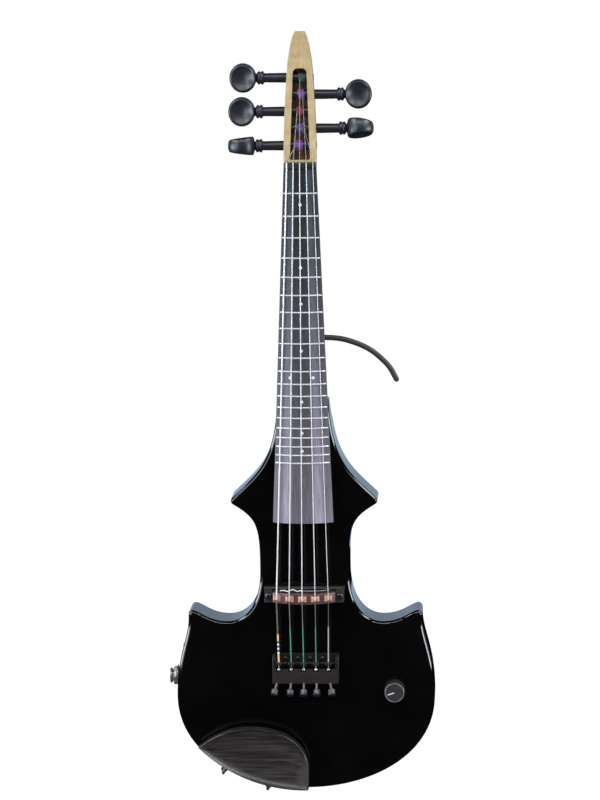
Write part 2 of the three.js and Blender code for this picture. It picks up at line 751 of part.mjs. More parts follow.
// Bell-crank lever on the cross pin: an upright arm that holds the string, a long arm under the screw behind.
function leverGeometry(n) {
  const x = tailX(n);
  const { pinZ, pinHeight } = tail;
  const outline = polygon(
    [pinZ - 10.2, pinHeight - 1.9], [pinZ + 0.5, pinHeight - 2.5], [pinZ + 2.4, pinHeight - 1.4],
    [pinZ + 2.4, pinHeight + 2.6], [pinZ + 1.8, pinHeight + 4.2], [pinZ + 1.8, pinHeight + 6.2],
    [pinZ + 1.2, pinHeight + 6.7], [pinZ - 0.5, pinHeight + 6.7], [pinZ - 0.9, pinHeight + 6.2],
    [pinZ - 0.9, pinHeight + 3], [pinZ - 1.8, pinHeight + 2.1], [pinZ - 4, pinHeight - 0.6],
    [pinZ - 10.2, pinHeight - 0.7]);
  const plain = profile(outline, x - 2.1, x + 2.1, 1);
  return cut(plain, rod(at(x - 5, pinHeight, pinZ), at(x + 5, pinHeight, pinZ), 1 + gap, 12));
}

function tunerScrewGeometry(n) {
  const tip = at(tailX(n), tuner.tipHeight, tuner.tipZ);
  const end = tip.clone().addScaledVector(tunerDirection(n), 20);
  const { shaft, headFrom, headTo, head } = tuner;
  return turned([
    [0, 0], [shaft - 0.4, 0], [shaft, 0.6], [shaft, headFrom], [head - 0.8, headFrom + 0.4],
    [head, headFrom + 1.2], [head, headTo - 1.2], [head - 0.8, headTo - 0.2], [0, headTo],
  ], tip, end, 12);
}

function addTuners() {
  for (let n = 0; n < stringCount; n += 1) {
    addPart(`tuner_lever_${n + 1}`, leverGeometry(n), finish.blackMetal);
    addPart(`tuner_screw_${n + 1}`, tunerScrewGeometry(n), finish.blackMetal);
  }
}

// ---------------------------------------------------------------- electronics

function addVolumeControl() {
  const { x, z, knobRadius, knobTop } = volume;
  const canTop = cavity.floor - gap;
  const pot = join(
    rod(at(x, canTop - 10, z), at(x, canTop, z), 8, 20),
    rod(at(x, canTop - 1, z), at(x, body.thickness + 1, z), 3.8, 16),
    block(x - 5, x + 5, canTop - 9, canTop - 7.5, z - 12, z),
  );
  const shaftFrom = canTop - 4;
  const shaftHole = rod(at(x, shaftFrom - gap, z), at(x, 45, z), 3 + gap, 16);
  addPart('volume_pot', cut(pot, shaftHole), finish.steel);
  addPart('volume_shaft', rod(at(x, shaftFrom, z), at(x, 47, z), 3, 16), finish.steel);
  const knob = turned([
    [0, 0], [knobRadius, 0], [knobRadius, 8.6], [knobRadius - 1.2, 10.8],
    [knobRadius - 2.6, knobTop - body.thickness - 1.2], [0, knobTop - body.thickness - 1.2],
  ], at(x, body.thickness + 1.2, z), at(x, 60, z), 24);
  const bore = rod(at(x, body.thickness, z), at(x, 47 + gap, z), 3 + gap, 16);
  const bushingRoom = rod(at(x, body.thickness, z), at(x, body.thickness + 2, z), 5, 16);
  addPart('volume_knob', cut(knob, bore, bushingRoom), finish.plastic);
}

function addJack() {
  const { z, height, bore, barrel, outerEnd, innerEnd, flange, nut: ring } = jack;
  const axis = (x) => at(x, height, z);
  const blank = join(
    rod(axis(outerEnd), axis(innerEnd), barrel, 20),
    rod(axis(outerEnd), axis(outerEnd + flange.thickness), flange.radius, 20),
  );
  const socket = rod(axis(outerEnd - 1), axis(innerEnd - 2), bore, 24);
  addPart('output_jack', cut(blank, socket), finish.blackMetal);
  const hexagon = rod(axis(ring.from), axis(ring.to), ring.radius, 6);
  const nutBore = rod(axis(ring.from - 1), axis(ring.to + 1), barrel + gap, 20);
  addPart('jack_nut', cut(hexagon, nutBore), finish.blackMetal);
}

// Small plate let into the bass-side rim above the jack; its pocket is the same block, a little larger.
function sidePlateBlock(growth) {
  const { x, z, length, width, thickness, tilt } = sidePlate;
  const geometry = new THREE.BoxGeometry(thickness + 2 * growth, width + 2 * growth, length + 2 * growth);
  geometry.rotateY(tilt);
  geometry.translate(x, -body.thickness / 2, z);
  return geometry;
}

function addSidePlate() {
  addPart('side_plate', sidePlateBlock(0), finish.blackMetal);
}

// A 9 volt battery with its two terminals, and a small circuit board with two components.
function addBatteryAndPreamp() {
  const battery = join(
    block(39.5, 56.5, 3, 29, -102.5, -56),
    block(42, 45, 6, 12, -56.5, -53.8),
    block(42, 45, 18, 24, -56.5, -53.8),
  );
  addPart('battery', battery, finish.batteryCase);
  const preamp = join(
    block(58.5, 78.5, 14, 15.6, -102, -87.4),
    block(62, 70, 15, 18.4, -99, -92),
    block(72, 76, 15, 19.5, -98, -94),
  );
  addPart('preamp_board', preamp, finish.circuit);
}

// ---------------------------------------------------------------- chinrest and its clamp

function chinrestOutline() {
  const shape = new THREE.Shape();
  shape.moveTo(-82.4, -116.2);
  shape.bezierCurveTo(-71, -106.6, -58, -101, -43, -101);
  shape.bezierCurveTo(-17.5, -101, 2.6, -112, 2.6, -135);
  shape.lineTo(2, -149.7);
  shape.bezierCurveTo(-31, -150, -61, -137.5, -82.4, -116.2);
  return shape;
}

function addChinrest() {
  const { underside, top, dish } = chinrest;
  const radius = 62;
  const hollow = new THREE.SphereGeometry(1, 24, 14);
  hollow.scale(radius * 0.62, radius * 0.42, radius * 0.42);
  hollow.translate(-35, -(top - dish + radius * 0.42), -126.5);
  const cup = cut(plate(chinrestOutline(), underside, top, 1, 8, 1), hollow);
  const pad = plate(roundedBox(-54, -34, -139.5, -128, 3), body.thickness + 0.1, underside + 1, 0, 3);
  addPart('chinrest', join(cup, pad), finish.rosewood);
}

// Two bent legs under the cup, joined by a cross plate, that reach over the rim towards the back.
function addClamp() {
  const { rod: radius, posts, legHeight, barrel, barrelFrom, barrelTo, footBack } = clamp;
  const roots = clamp.roots.map((root) => at(root.x, legHeight, root.z));
  const legs = posts.flatMap((post, i) => [
    rod(roots[i], at(post.x, legHeight, post.z), radius, 10),
    rod(at(post.x, legHeight + 1, post.z), at(post.x, 20.5, post.z), radius, 10),
  ]);
  addPart('clamp_bracket', join(...legs, rod(roots[0], roots[1], radius, 10)), finish.steel);

  posts.forEach((post, i) => {
    const tube = rod(at(post.x, barrelFrom, post.z), at(post.x, barrelTo, post.z), barrel, 16);
    const bore = rod(at(post.x, barrelFrom - 1, post.z), at(post.x, barrelTo + 1, post.z), radius + gap, 16);
    addPart(`clamp_barrel_${i + 1}`, cut(tube, bore), finish.steel);
  });

  const footOutline = new THREE.Shape();
  footOutline.moveTo(-67.5, -142.3);
  footOutline.bezierCurveTo(-56, -150.3, -43, -154.4, -27, -155.2);
  footOutline.lineTo(-26, -140);
  footOutline.bezierCurveTo(-38, -140, -51, -135, -60, -128);
  const foot = plate(footOutline, footBack, -gap, 0, 6);
  const risers = posts.map((post) => rod(at(post.x, -2, post.z), at(post.x, 17.5, post.z), radius, 10));
  addPart('clamp_foot', join(foot, ...risers), finish.steel);
}

// ---------------------------------------------------------------- curved arm behind the neck

function addSupportArm() {
  const { radius, height, neckZ } = arm;
  const route = [
    at(-6, height, neckZ), at(23, height, neckZ), at(39, height, neckZ - 3.5),
    at(52.7, height, neckZ - 10.2), at(64.9, height, neckZ - 21.3), at(72.2, height, neckZ - 33.6),
  ];
  const path = new THREE.CatmullRomCurve3(route, false, 'centripetal');
  const options = { steps: 16, extrudePath: path, curveSegments: 4 };
  addPart('support_arm', new THREE.ExtrudeGeometry(circle(radius), options), finish.rubber);
  const grip = block(-10, 10, height - 4.5, height + 4, neckZ - 7, neckZ + 7);
  const bore = rod(at(-7, height, neckZ), at(12, height, neckZ), radius + gap, 16);
  addPart('arm_bracket', cut(grip, bore), finish.blackMetal);
}

addBody();
addCavityCover();
addBackScrews();
addNeck();
addFingerboard();
addNut();
addPegs();
addStrings();
addBridge();
addBridgeBar();
addSaddles();
addPickupLead();
addTailpiece();
addTuners();
addVolumeControl();
addJack();
addSidePlate();
addBatteryAndPreamp();
addChinrest();
addClamp();
addSupportArm();

export default model;
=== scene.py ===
from math import asin, atan, cos, hypot, pi, radians, sin, sqrt

import bmesh
import bpy
from mathutils import Matrix, Quaternion, Vector


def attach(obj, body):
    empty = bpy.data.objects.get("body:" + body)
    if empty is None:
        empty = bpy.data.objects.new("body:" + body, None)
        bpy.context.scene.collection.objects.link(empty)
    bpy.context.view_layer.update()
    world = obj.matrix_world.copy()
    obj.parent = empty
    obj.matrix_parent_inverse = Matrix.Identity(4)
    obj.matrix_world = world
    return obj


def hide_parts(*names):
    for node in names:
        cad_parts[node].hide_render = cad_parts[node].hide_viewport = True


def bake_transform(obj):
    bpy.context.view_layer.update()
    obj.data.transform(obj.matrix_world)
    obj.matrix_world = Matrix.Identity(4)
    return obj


# Five-string fretted electric violin. Lengths are millimetres and angles degrees, unless a comment says
# otherwise; lights and the camera are in metres.
# "Height" is the distance in front of the back plane, which is -Y; Z runs along the neck to the head.

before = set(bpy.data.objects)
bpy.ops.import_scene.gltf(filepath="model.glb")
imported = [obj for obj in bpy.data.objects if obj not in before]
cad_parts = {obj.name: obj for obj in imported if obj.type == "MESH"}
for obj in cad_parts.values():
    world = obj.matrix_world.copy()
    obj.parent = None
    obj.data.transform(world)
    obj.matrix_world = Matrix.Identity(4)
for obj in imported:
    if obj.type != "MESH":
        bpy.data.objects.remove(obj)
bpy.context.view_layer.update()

# ---------------- driving dimensions

SCALE_LENGTH = 327.1
COMPENSATION = 2.2
FRETS = 20
DOTTED_FRETS = (2, 5, 7, 10, 14, 17, 19)
THICKNESS = 38
EDGE = 3
CROWN = 42

BOARD = {"end": 58.4, "half": (12.45, 23.05), "top": (45.6, 57.3), "thickness": 4.4}
PEGBOX = {"start": 333.9, "front": 42, "slope": 0.125, "slot_top": 402.9, "tip": 429.7}
PEGS = [
    # side, level, turn of the head, extra reach, where the string arrives, ends of the winding, colour of
    # its silk (linear red, green, blue)
    (-1, 344.1, 90, 0.6, -3.6, (-4.3, 1.9), (0.22, 0.09, 0.36)),
    (-1, 369.7, 0, 0.3, -2.2, (-2.9, 3.1), (0.24, 0.03, 0.05)),
    (-1, 395.0, 0, -0.7, 0, (-1.3, 3.7), (0.06, 0.095, 0.075)),
    (1, 382.4, 0, 0.0, 2.0, (-1.7, 3.1), (0.26, 0.12, 0.40)),
    (1, 356.9, 74, 1.3, 3.6, (-2.5, 4.3), (0.13, 0.08, 0.28)),
]
STRING_RADII = (0.54, 0.44, 0.4, 0.35, 0.22)
STRING_OVER_NUT = 47.5
STRING_OVER_BRIDGE = 64
WINDING_RADIUS = 4.02
STRING_BAND = {"nut": 4.95, "bridge": 9.9, "tail": 9.5, "shift": -0.8}
SILK_START = -21.5
TAIL_END = (50.6, -49.9)
BRIDGE = {"half": 31.3, "from": -5, "to": 7, "plate": 42.8, "screw": 27.2, "bar": 24.1}
TAIL = {"left": -24.8, "right": 26, "from": -66.9, "to": -45.2, "plate": 41.6, "top": 51.2, "wall": 2.5,
        "lid": -55.5}
PIN = (45.4, -52)
TUNER = {"tilt": 35, "fan": (-0.21, -0.05, 0, 0.03, 0.16), "tip": (45.6, -60.2)}
KNOB = {"x": 68.6, "z": -74, "radius": 8, "top": 51}
JACK = {"height": 19, "z": -67}
CAVITY = (38, 80, -104, -51.5)
LEAD_HOLE = (19.5, 5.7)
RIM_PLATE = {"x": -94.1, "z": -41.9, "tilt": 0.25, "thickness": 1.2}
CLAMP_POSTS = ((-64.4, -139.5), (-30.1, -152.2))
CLAMP_ROOTS = ((-58.6, -125.5), (-27.6, -126))
ARM_LEVEL = 196.9
EDGE_PANEL = (1.4, 0.6)


def mix(a, b, share):
    return a + (b - a) * share


def at(x, height, z):
    """A place in the frame, in metres, from millimetres."""
    return Vector((x, -height, z)) * 0.001


def sag(x, radius=CROWN):
    return radius - sqrt(radius * radius - x * x)


def board_share(z):
    return (SCALE_LENGTH - z) / (SCALE_LENGTH - BOARD["end"])


def board_half(z):
    return mix(*BOARD["half"], board_share(z))


def board_top(z):
    return mix(*BOARD["top"], board_share(z))


def board_underside(z):
    ends = [top - sag(half) - BOARD["thickness"] for top, half in zip(BOARD["top"], BOARD["half"])]
    return mix(*ends, board_share(z))


def fret_level(n):
    return COMPENSATION + (SCALE_LENGTH - COMPENSATION) * 2 ** (-n / 12)


def pegbox_front(z):
    return PEGBOX["front"] - (z - PEGBOX["start"]) * PEGBOX["slope"]


def peg_height(z):
    return pegbox_front(z) - 8.5


def string_x(n, place):
    return (n - 2) * STRING_BAND[place] + (0 if place == "nut" else STRING_BAND["shift"])


# ---------------- materials

def new_material(name):
    material = bpy.data.materials.new(name)
    material.use_nodes = True
    return material, material.node_tree, material.node_tree.nodes["Principled BSDF"]


def object_place(tree, stretch=(1, 1, 1)):
    coord = tree.nodes.new("ShaderNodeTexCoord")
    mapping = tree.nodes.new("ShaderNodeMapping")
    mapping.inputs["Scale"].default_value = stretch
    tree.links.new(coord.outputs["Object"], mapping.inputs["Vector"])
    return mapping.outputs["Vector"]


def noise(tree, vector, scale, detail=4.0, warp=0.0):
    node = tree.nodes.new("ShaderNodeTexNoise")
    node.inputs["Scale"].default_value = scale
    node.inputs["Detail"].default_value = detail
    node.inputs["Distortion"].default_value = warp
    tree.links.new(vector, node.inputs["Vector"])
    return node.outputs["Fac"]


def bands(tree, vector, axis, period, warp=0.0):
    """Stripes square to an axis, with the period in metres."""
    node = tree.nodes.new("ShaderNodeTexWave")
    node.wave_type = "BANDS"
    node.bands_direction = axis
    node.inputs["Scale"].default_value = 2 * pi / (20 * period)
    node.inputs["Distortion"].default_value = warp
    tree.links.new(vector, node.inputs["Vector"])
    return node.outputs["Fac"]


def ramp(tree, value, stops):
    node = tree.nodes.new("ShaderNodeValToRGB")
    elements = node.color_ramp.elements
    while len(elements) < len(stops):
        elements.new(0.5)
    for element, (position, color) in zip(elements, stops):
        element.position = position
        element.color = (*color, 1)
    tree.links.new(value, node.inputs["Fac"])
    return node.outputs["Color"]


def spread(tree, value, low, high):
    node = tree.nodes.new("ShaderNodeMapRange")
    node.inputs["From Min"].default_value = 0.3
    node.inputs["From Max"].default_value = 0.7
    node.inputs["To Min"].default_value = low
    node.inputs["To Max"].default_value = high
    tree.links.new(value, node.inputs["Value"])
    return node.outputs["Result"]


def multiply(tree, first, second):
    node = tree.nodes.new("ShaderNodeMix")
    node.data_type = "RGBA"
    node.blend_type = "MULTIPLY"
    node.inputs["Factor"].default_value = 1.0
    tree.links.new(first, [socket for socket in node.inputs if socket.type == "RGBA"][0])
    tree.links.new(second, [socket for socket in node.inputs if socket.type == "RGBA"][1])
    return [socket for socket in node.outputs if socket.type == "RGBA"][0]


def bump(tree, shader, value, strength, depth):
    node = tree.nodes.new("ShaderNodeBump")
    node.inputs["Strength"].default_value = strength
    node.inputs["Distance"].default_value = depth
    tree.links.new(value, node.inputs["Height"])
    tree.links.new(node.outputs["Normal"], shader.inputs["Normal"])


def surface(name, dark, light, scale, rough, stretch=(1, 1, 1), metal=0.0, coat=0.0, specular=0.5,
            strength=0.15, depth=0.00005, ribs=None, warp=0.0):
    """A finish whose colour, roughness and relief vary with noise; ribs = (axis, period) adds fine ridges."""
    material, tree, shader = new_material(name)
    place = object_place(tree, stretch)
    tone = noise(tree, place, scale, 5.0, warp)
    fine = noise(tree, place, scale * 4, 3.0)
    tree.links.new(ramp(tree, tone, [(0.32, dark), (0.68, light)]), shader.inputs["Base Color"])
    tree.links.new(spread(tree, fine, *rough), shader.inputs["Roughness"])
    relief = bands(tree, object_place(tree), *ribs) if ribs else fine
    bump(tree, shader, relief, strength, depth)
    shader.inputs["Metallic"].default_value = metal
    shader.inputs["Coat Weight"].default_value = coat
    shader.inputs["Coat Roughness"].default_value = 0.04
    shader.inputs["Specular IOR Level"].default_value = specular
    return material


def maple():
    """Pale lacquered maple: long fibres, faint flame across them and small darker flecks, with a painted
    highlight that makes it paler and bluer along the neck up to the nut, fading out up the pegbox.
    """
    material, tree, shader = new_material("maple")
    fibre = noise(tree, object_place(tree, (900, 900, 40)), 1.0, 6.0, 0.6)
    flame = noise(tree, object_place(tree, (40, 40, 190)), 1.0, 2.0, 0.4)
    flecks = noise(tree, object_place(tree, (2600, 2600, 300)), 1.0, 2.0)
    tones = [(0.3, (0.305, 0.225, 0.108)), (0.55, (0.37, 0.278, 0.140)), (0.75, (0.405, 0.308, 0.162))]
    base = ramp(tree, fibre, tones)
    shade = ramp(tree, flame, [(0.35, (0.86, 0.84, 0.80)), (0.65, (1.0, 1.0, 1.0))])
    speck = ramp(tree, flecks, [(0.28, (0.80, 0.74, 0.66)), (0.36, (1.0, 1.0, 1.0))])
    color = multiply(tree, multiply(tree, base, shade), speck)
    # Painted highlight: below the nut the maple is made paler and bluer, and this fades out up the pegbox.
    height = tree.nodes.new("ShaderNodeSeparateXYZ")
    tree.links.new(object_place(tree), height.inputs["Vector"])
    painted_highlight = ramp(tree, height.outputs["Z"], [(0.33, (1.2, 1.24, 1.36)), (0.42, (1.0, 1.0, 1.0))])
    tree.links.new(multiply(tree, color, painted_highlight), shader.inputs["Base Color"])
    tree.links.new(spread(tree, fibre, 0.36, 0.5), shader.inputs["Roughness"])
    bump(tree, shader, fibre, 0.12, 0.0001)
    shader.inputs["Coat Weight"].default_value = 0.15
    shader.inputs["Coat Roughness"].default_value = 0.25
    return material


def board_wood_and_painted_sheen():
    """Dark oiled wood with long streaks, and a painted sheen that makes it paler towards the end and in two
    lanes across the crown.
    """
    material, tree, shader = new_material("ebony_board")
    parts = tree.nodes.new("ShaderNodeSeparateXYZ")
    tree.links.new(object_place(tree), parts.inputs["Vector"])

    def ranged(value, start, end, low=0.0, high=1.0):
        node = tree.nodes.new("ShaderNodeMapRange")
        for key, number in (("From Min", start), ("From Max", end), ("To Min", low), ("To Max", high)):
            node.inputs[key].default_value = number
        tree.links.new(value, node.inputs["Value"])
        return node.outputs["Result"]

    def compute(operation, *values):
        node = tree.nodes.new("ShaderNodeMath")
        node.operation = operation
        for i, value in enumerate(values):
            tree.links.new(value, node.inputs[i])
        return node.outputs["Value"]

    end, nut = BOARD["end"] * 0.001, SCALE_LENGTH * 0.001
    # Painted sheen: the colour grows paler from the nut towards the board's end.
    tones = [(0.0, (0.140, 0.130, 0.165)), (0.22, (0.098, 0.094, 0.120)), (0.5, (0.052, 0.055, 0.072)),
             (0.8, (0.026, 0.033, 0.040)), (1.0, (0.015, 0.022, 0.026))]
    base = ramp(tree, ranged(parts.outputs["Z"], end, nut), tones)
    half = ranged(parts.outputs["Z"], end, nut, *(width * 0.001 for width in BOARD["half"][::-1]))
    across = compute("DIVIDE", compute("ABSOLUTE", parts.outputs["X"]), half)
    # Painted reflection: two pale lanes on the crown, between the outer strings, where light would be
    # mirrored.
    painted_sheen_lanes = ((0.0, 0.74), (0.34, 0.80), (0.45, 2.0), (0.62, 1.9), (0.78, 0.96))
    painted_sheen_lane = ramp(tree, across, [(place, (gain,) * 3) for place, gain in painted_sheen_lanes])
    streak = noise(tree, object_place(tree, (1300, 1300, 22)), 1.0, 5.0, 0.4)
    grain = ramp(tree, streak, [(0.3, (0.70, 0.69, 0.70)), (0.7, (1.20, 1.20, 1.20))])
    tree.links.new(multiply(tree, multiply(tree, base, painted_sheen_lane), grain), shader.inputs["Base Color"])
    tree.links.new(spread(tree, streak, 0.4, 0.54), shader.inputs["Roughness"])
    shader.inputs["Specular IOR Level"].default_value = 0.2
    bump(tree, shader, streak, 0.15, 0.00005)
    return material


def lacquer():
    """Deep black lacquer with a polished clear coat and the faintest unevenness."""
    material, tree, shader = new_material("black_lacquer")
    place = object_place(tree)
    depth = noise(tree, place, 30.0, 3.0)
    peel = noise(tree, place, 260.0, 2.0)
    tree.links.new(ramp(tree, depth, [(0.3, (0.0012, 0.0012, 0.0014)), (0.7, (0.0022, 0.0021, 0.0024))]),
                   shader.inputs["Base Color"])
    tree.links.new(spread(tree, peel, 0.05, 0.09), shader.inputs["Roughness"])
    bump(tree, shader, peel, 0.04, 0.00002)
    shader.inputs["Specular IOR Level"].default_value = 0.5
    return material


def striped_silk():
    """Navy and white thread wound together, for the end of the lowest string."""
    material, tree, shader = new_material("silk_navy_white")
    place = object_place(tree)
    stripe = bands(tree, place, "Z", 0.0034)
    thread = bands(tree, place, "Z", 0.0003)
    tree.links.new(ramp(tree, stripe, [(0.42, (0.02, 0.02, 0.14)), (0.58, (0.72, 0.72, 0.78))]),
                   shader.inputs["Base Color"])
    tree.links.new(spread(tree, thread, 0.4, 0.6), shader.inputs["Roughness"])
    bump(tree, shader, thread, 0.4, 0.00005)
    return material


def silk(name, color):
    dark = tuple(c * 0.55 for c in color)
    return surface(name, dark, color, 900, (0.4, 0.62), strength=0.5, ribs=("Z", 0.0003))


BLACK = lacquer()
MAPLE = maple()
# Painted shade: the slot's inner faces get a darker, redder copy of the maple.
SHADED_SLOT_WOOD = surface("slot_wood_painted_shade", (0.20, 0.105, 0.055), (0.42, 0.25, 0.13), 1, (0.45, 0.6), (500, 500, 40))
BOARD_WOOD_AND_SHEEN = board_wood_and_painted_sheen()
EBONY = surface("ebony", (0.006, 0.008, 0.013), (0.010, 0.014, 0.022), 1, (0.37, 0.40), (60, 500, 500),
                strength=0.01)
NUT_BLACK = surface("nut_black", (0.010, 0.010, 0.012), (0.02, 0.02, 0.024), 600, (0.3, 0.42))
FRET_SILVER = surface("fret_silver", (0.52, 0.53, 0.56), (0.66, 0.67, 0.70), 500, (0.22, 0.3), metal=0.35,
                      strength=0.03)
PEARL = surface("dot_pearl", (0.46, 0.50, 0.52), (0.66, 0.70, 0.72), 700, (0.25, 0.35))
STEEL = surface("polished_steel", (0.26, 0.27, 0.29), (0.44, 0.45, 0.48), 400, (0.2, 0.34), metal=0.8)
WOUND = surface("wound_string", (0.42, 0.42, 0.43), (0.58, 0.58, 0.60), 800, (0.3, 0.4), metal=0.4,
                strength=0.2, depth=0.00004, ribs=("Z", 0.00035))
PLAIN = surface("plain_string", (0.56, 0.55, 0.57), (0.70, 0.69, 0.71), 800, (0.25, 0.35), metal=0.3,
                strength=0.05)
# Painted shade: a darker copy of the string steel, for the runs into the pegbox, behind the bridge and into
# the levers.
SHADED_STRING = surface("string_steel_painted_shade", (0.13, 0.12, 0.11), (0.24, 0.23, 0.21), 800, (0.35, 0.45), metal=0.4,
                      strength=0.1, depth=0.00002)
COPPER = surface("copper", (0.50, 0.22, 0.15), (0.88, 0.54, 0.42), 700, (0.18, 0.32), metal=0.55)
BAR_WOOD = surface("bridge_bar", (0.055, 0.020, 0.026), (0.115, 0.052, 0.062), 1, (0.24, 0.36),
                   (60, 900, 900), coat=0.4)
BASE_METAL = surface("bridge_base", (0.013, 0.012, 0.011), (0.027, 0.024, 0.022), 900, (0.4, 0.52),
                     specular=0.3)
RAIL_METAL = surface("bridge_rail", (0.045, 0.040, 0.038), (0.085, 0.075, 0.070), 900, (0.34, 0.46),
                     metal=0.2)
TAIL_METAL = surface("tailpiece_black", (0.012, 0.006, 0.008), (0.021, 0.011, 0.014), 900, (0.42, 0.54),
                     metal=0.1)
TAIL_BLACK = surface("tailpiece_frame", (0.004, 0.004, 0.004), (0.010, 0.009, 0.009), 900, (0.36, 0.48),
                     specular=0.3)
HEAD_METAL = surface("thumb_head", (0.018, 0.018, 0.021), (0.06, 0.06, 0.07), 900, (0.2, 0.32), metal=0.7)
SCREW_BLACK = surface("black_screw", (0.012, 0.012, 0.013), (0.034, 0.034, 0.036), 900, (0.3, 0.42),
                      metal=0.4)
CLAMP_METAL = surface("clamp_metal", (0.035, 0.035, 0.037), (0.10, 0.10, 0.105), 600, (0.25, 0.4), metal=0.5)
RING_METAL = surface("knob_ring_metal", (0.16, 0.16, 0.17), (0.32, 0.32, 0.34), 900, (0.3, 0.4), metal=0.4)
KNOB_BLACK = surface("knob_black", (0.016, 0.016, 0.018), (0.032, 0.032, 0.036), 700, (0.3, 0.42))
PAINT_WHITE = surface("pointer_white", (0.40, 0.40, 0.41), (0.56, 0.56, 0.57), 900, (0.4, 0.5))
SATIN_PLASTIC = surface("satin_plastic", (0.012, 0.012, 0.013), (0.022, 0.022, 0.024), 2400, (0.42, 0.55),
                        strength=0.35)
CHROME = surface("jack_nickel", (0.10, 0.115, 0.105), (0.30, 0.32, 0.29), 260, (0.2, 0.34), metal=0.5)
ROSEWOOD = surface("rosewood", (0.008, 0.006, 0.0065), (0.036, 0.029, 0.032), 1, (0.3, 0.42), (26, 420, 640),
                   warp=0.25, strength=0.25)
CORK = surface("cork", (0.20, 0.11, 0.05), (0.42, 0.27, 0.14), 900, (0.7, 0.9), strength=0.6, depth=0.0002)
RUBBER = surface("rubber_sleeve", (0.012, 0.010, 0.012), (0.024, 0.020, 0.023), 1400, (0.5, 0.65),
                 strength=0.4)
LEAD_WHITE = surface("lead_white", (0.72, 0.71, 0.68), (0.9, 0.89, 0.86), 900, (0.35, 0.5))
RIBBON = surface("ribbon_cable", (0.10, 0.12, 0.17), (0.24, 0.22, 0.30), 1, (0.35, 0.5), (300, 1500, 1500))
BATTERY = surface("battery_case", (0.03, 0.035, 0.045), (0.06, 0.065, 0.08), 400, (0.3, 0.42), metal=0.3)
CIRCUIT = surface("circuit_board", (0.01, 0.08, 0.035), (0.02, 0.15, 0.07), 900, (0.35, 0.5))
GOLD_SILK = silk("silk_gold", (0.86, 0.55, 0.22))
GREEN_SILK = silk("silk_green", (0.06, 0.27, 0.18))
SILVER_SLEEVE = silk("sleeve_silver", (0.42, 0.45, 0.42))
NAVY_SILK = striped_silk()

# ---------------- building shapes


def shape(name, skin_parts):
    """An object from vertices and faces, with its faces turned outwards."""
    verts, faces = skin_parts
    mesh = bpy.data.meshes.new(name)
    mesh.from_pydata(verts, [], faces)
    work = bmesh.new()
    work.from_mesh(mesh)
    bmesh.ops.remove_doubles(work, verts=work.verts, dist=1e-7)
    bmesh.ops.recalc_face_normals(work, faces=work.faces)
    work.to_mesh(mesh)
    work.free()
    obj = bpy.data.objects.new(name, mesh)
    bpy.context.scene.collection.objects.link(obj)
    return obj


def apply_modifiers(obj):
    graph = bpy.context.evaluated_depsgraph_get()
    mesh = bpy.data.meshes.new_from_object(obj.evaluated_get(graph))
    obj.modifiers.clear()
    obj.data = mesh
    return obj


def carve(obj, *cutters):
    for cutter in cutters:
        modifier = obj.modifiers.new("cut", "BOOLEAN")
        modifier.operation = "DIFFERENCE"
        modifier.solver = "EXACT"
        modifier.material_mode = "TRANSFER" if cutter.data.materials else "INDEX"
        modifier.object = cutter
    apply_modifiers(obj)
    for cutter in cutters:
        bpy.data.objects.remove(cutter)
    return obj


def soften(obj, width, segments=2, angle=32):
    """Rounds the sharp edges."""
    modifier = obj.modifiers.new("soften", "BEVEL")
    modifier.width = width * 0.001
    modifier.segments = segments
    modifier.limit_method = "ANGLE"
    modifier.angle_limit = radians(angle)
    return apply_modifiers(obj)


def dress(obj, material, body="root", replaces=(), slot=None, sharp=38, weighted=True):
    """Gives a piece its finish and the body that it rides on."""
    if not any(obj.data.materials):
        obj.data.materials.clear()
        obj.data.materials.append(material)
    obj.data.shade_smooth()
    obj.data.set_sharp_from_angle(angle=radians(sharp))
    if weighted:
        modifier = obj.modifiers.new("even", "WEIGHTED_NORMAL")
        modifier.keep_sharp = True
        apply_modifiers(obj)
    if body:
        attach(obj, body)
    if replaces:
        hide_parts(*([replaces] if isinstance(replaces, str) else replaces))
    return obj


def skin(rings, caps=True):
    """Rings of equally many points joined in order, with flat ends."""
    count = len(rings[0])
    faces = []
    for i in range(len(rings) - 1):
        for j in range(count):
            a, b = i * count + j, i * count + (j + 1) % count
            faces.append((a, b, b + count, a + count))
    if caps:
        faces.append(tuple(range(count)))
        faces.append(tuple(range((len(rings) - 1) * count, len(rings) * count)))
    return [p for ring in rings for p in ring], faces


def sides_of(direction):
    """Two directions square to the given one and to each other."""
    helper = Vector((0, 0, 1)) if abs(direction.z) < 0.9 else Vector((1, 0, 0))
    u = direction.cross(helper).normalized()
    return u, direction.cross(u).normalized()


def turned(profile, start, toward, sides=32, ribs=0, rib_depth=0.0, ribbed=(0, 0)):
    """A turned piece: profile pairs are (radius, distance along); ribs cut grooves between two distances."""
    direction = (toward - start).normalized()
    u, v = sides_of(direction)
    count = ribs * 4 if ribs else sides
    rings = []
    for radius, along in profile:
        deep = rib_depth if ribs and ribbed[0] <= along <= ribbed[1] else 0
        centre = start + direction * along * 0.001
        ring = []
        for i in range(count):
            a = 2 * pi * i / count
            r = max(radius - (deep if i % 4 in (2, 3) else 0), 0.01) * 0.001
            ring.append(centre + (u * cos(a) + v * sin(a)) * r)
        rings.append(ring)
    return skin(rings)


def hoop(profile, start, toward, sides=40):
    """A turned ring with a hole: the profile is a closed loop of (radius, distance along)."""
    direction = (toward - start).normalized()
    u, v = sides_of(direction)
    verts, faces = [], []
    count = len(profile)
    for i in range(sides):
        a = 2 * pi * i / sides
        out = u * cos(a) + v * sin(a)
        verts += [start + direction * along * 0.001 + out * radius * 0.001 for radius, along in profile]
    for i in range(sides):
        for j in range(count):
            k, m = i * count, (i + 1) % sides * count
            faces.append((k + j, k + (j + 1) % count, m + (j + 1) % count, m + j))
    return verts, faces


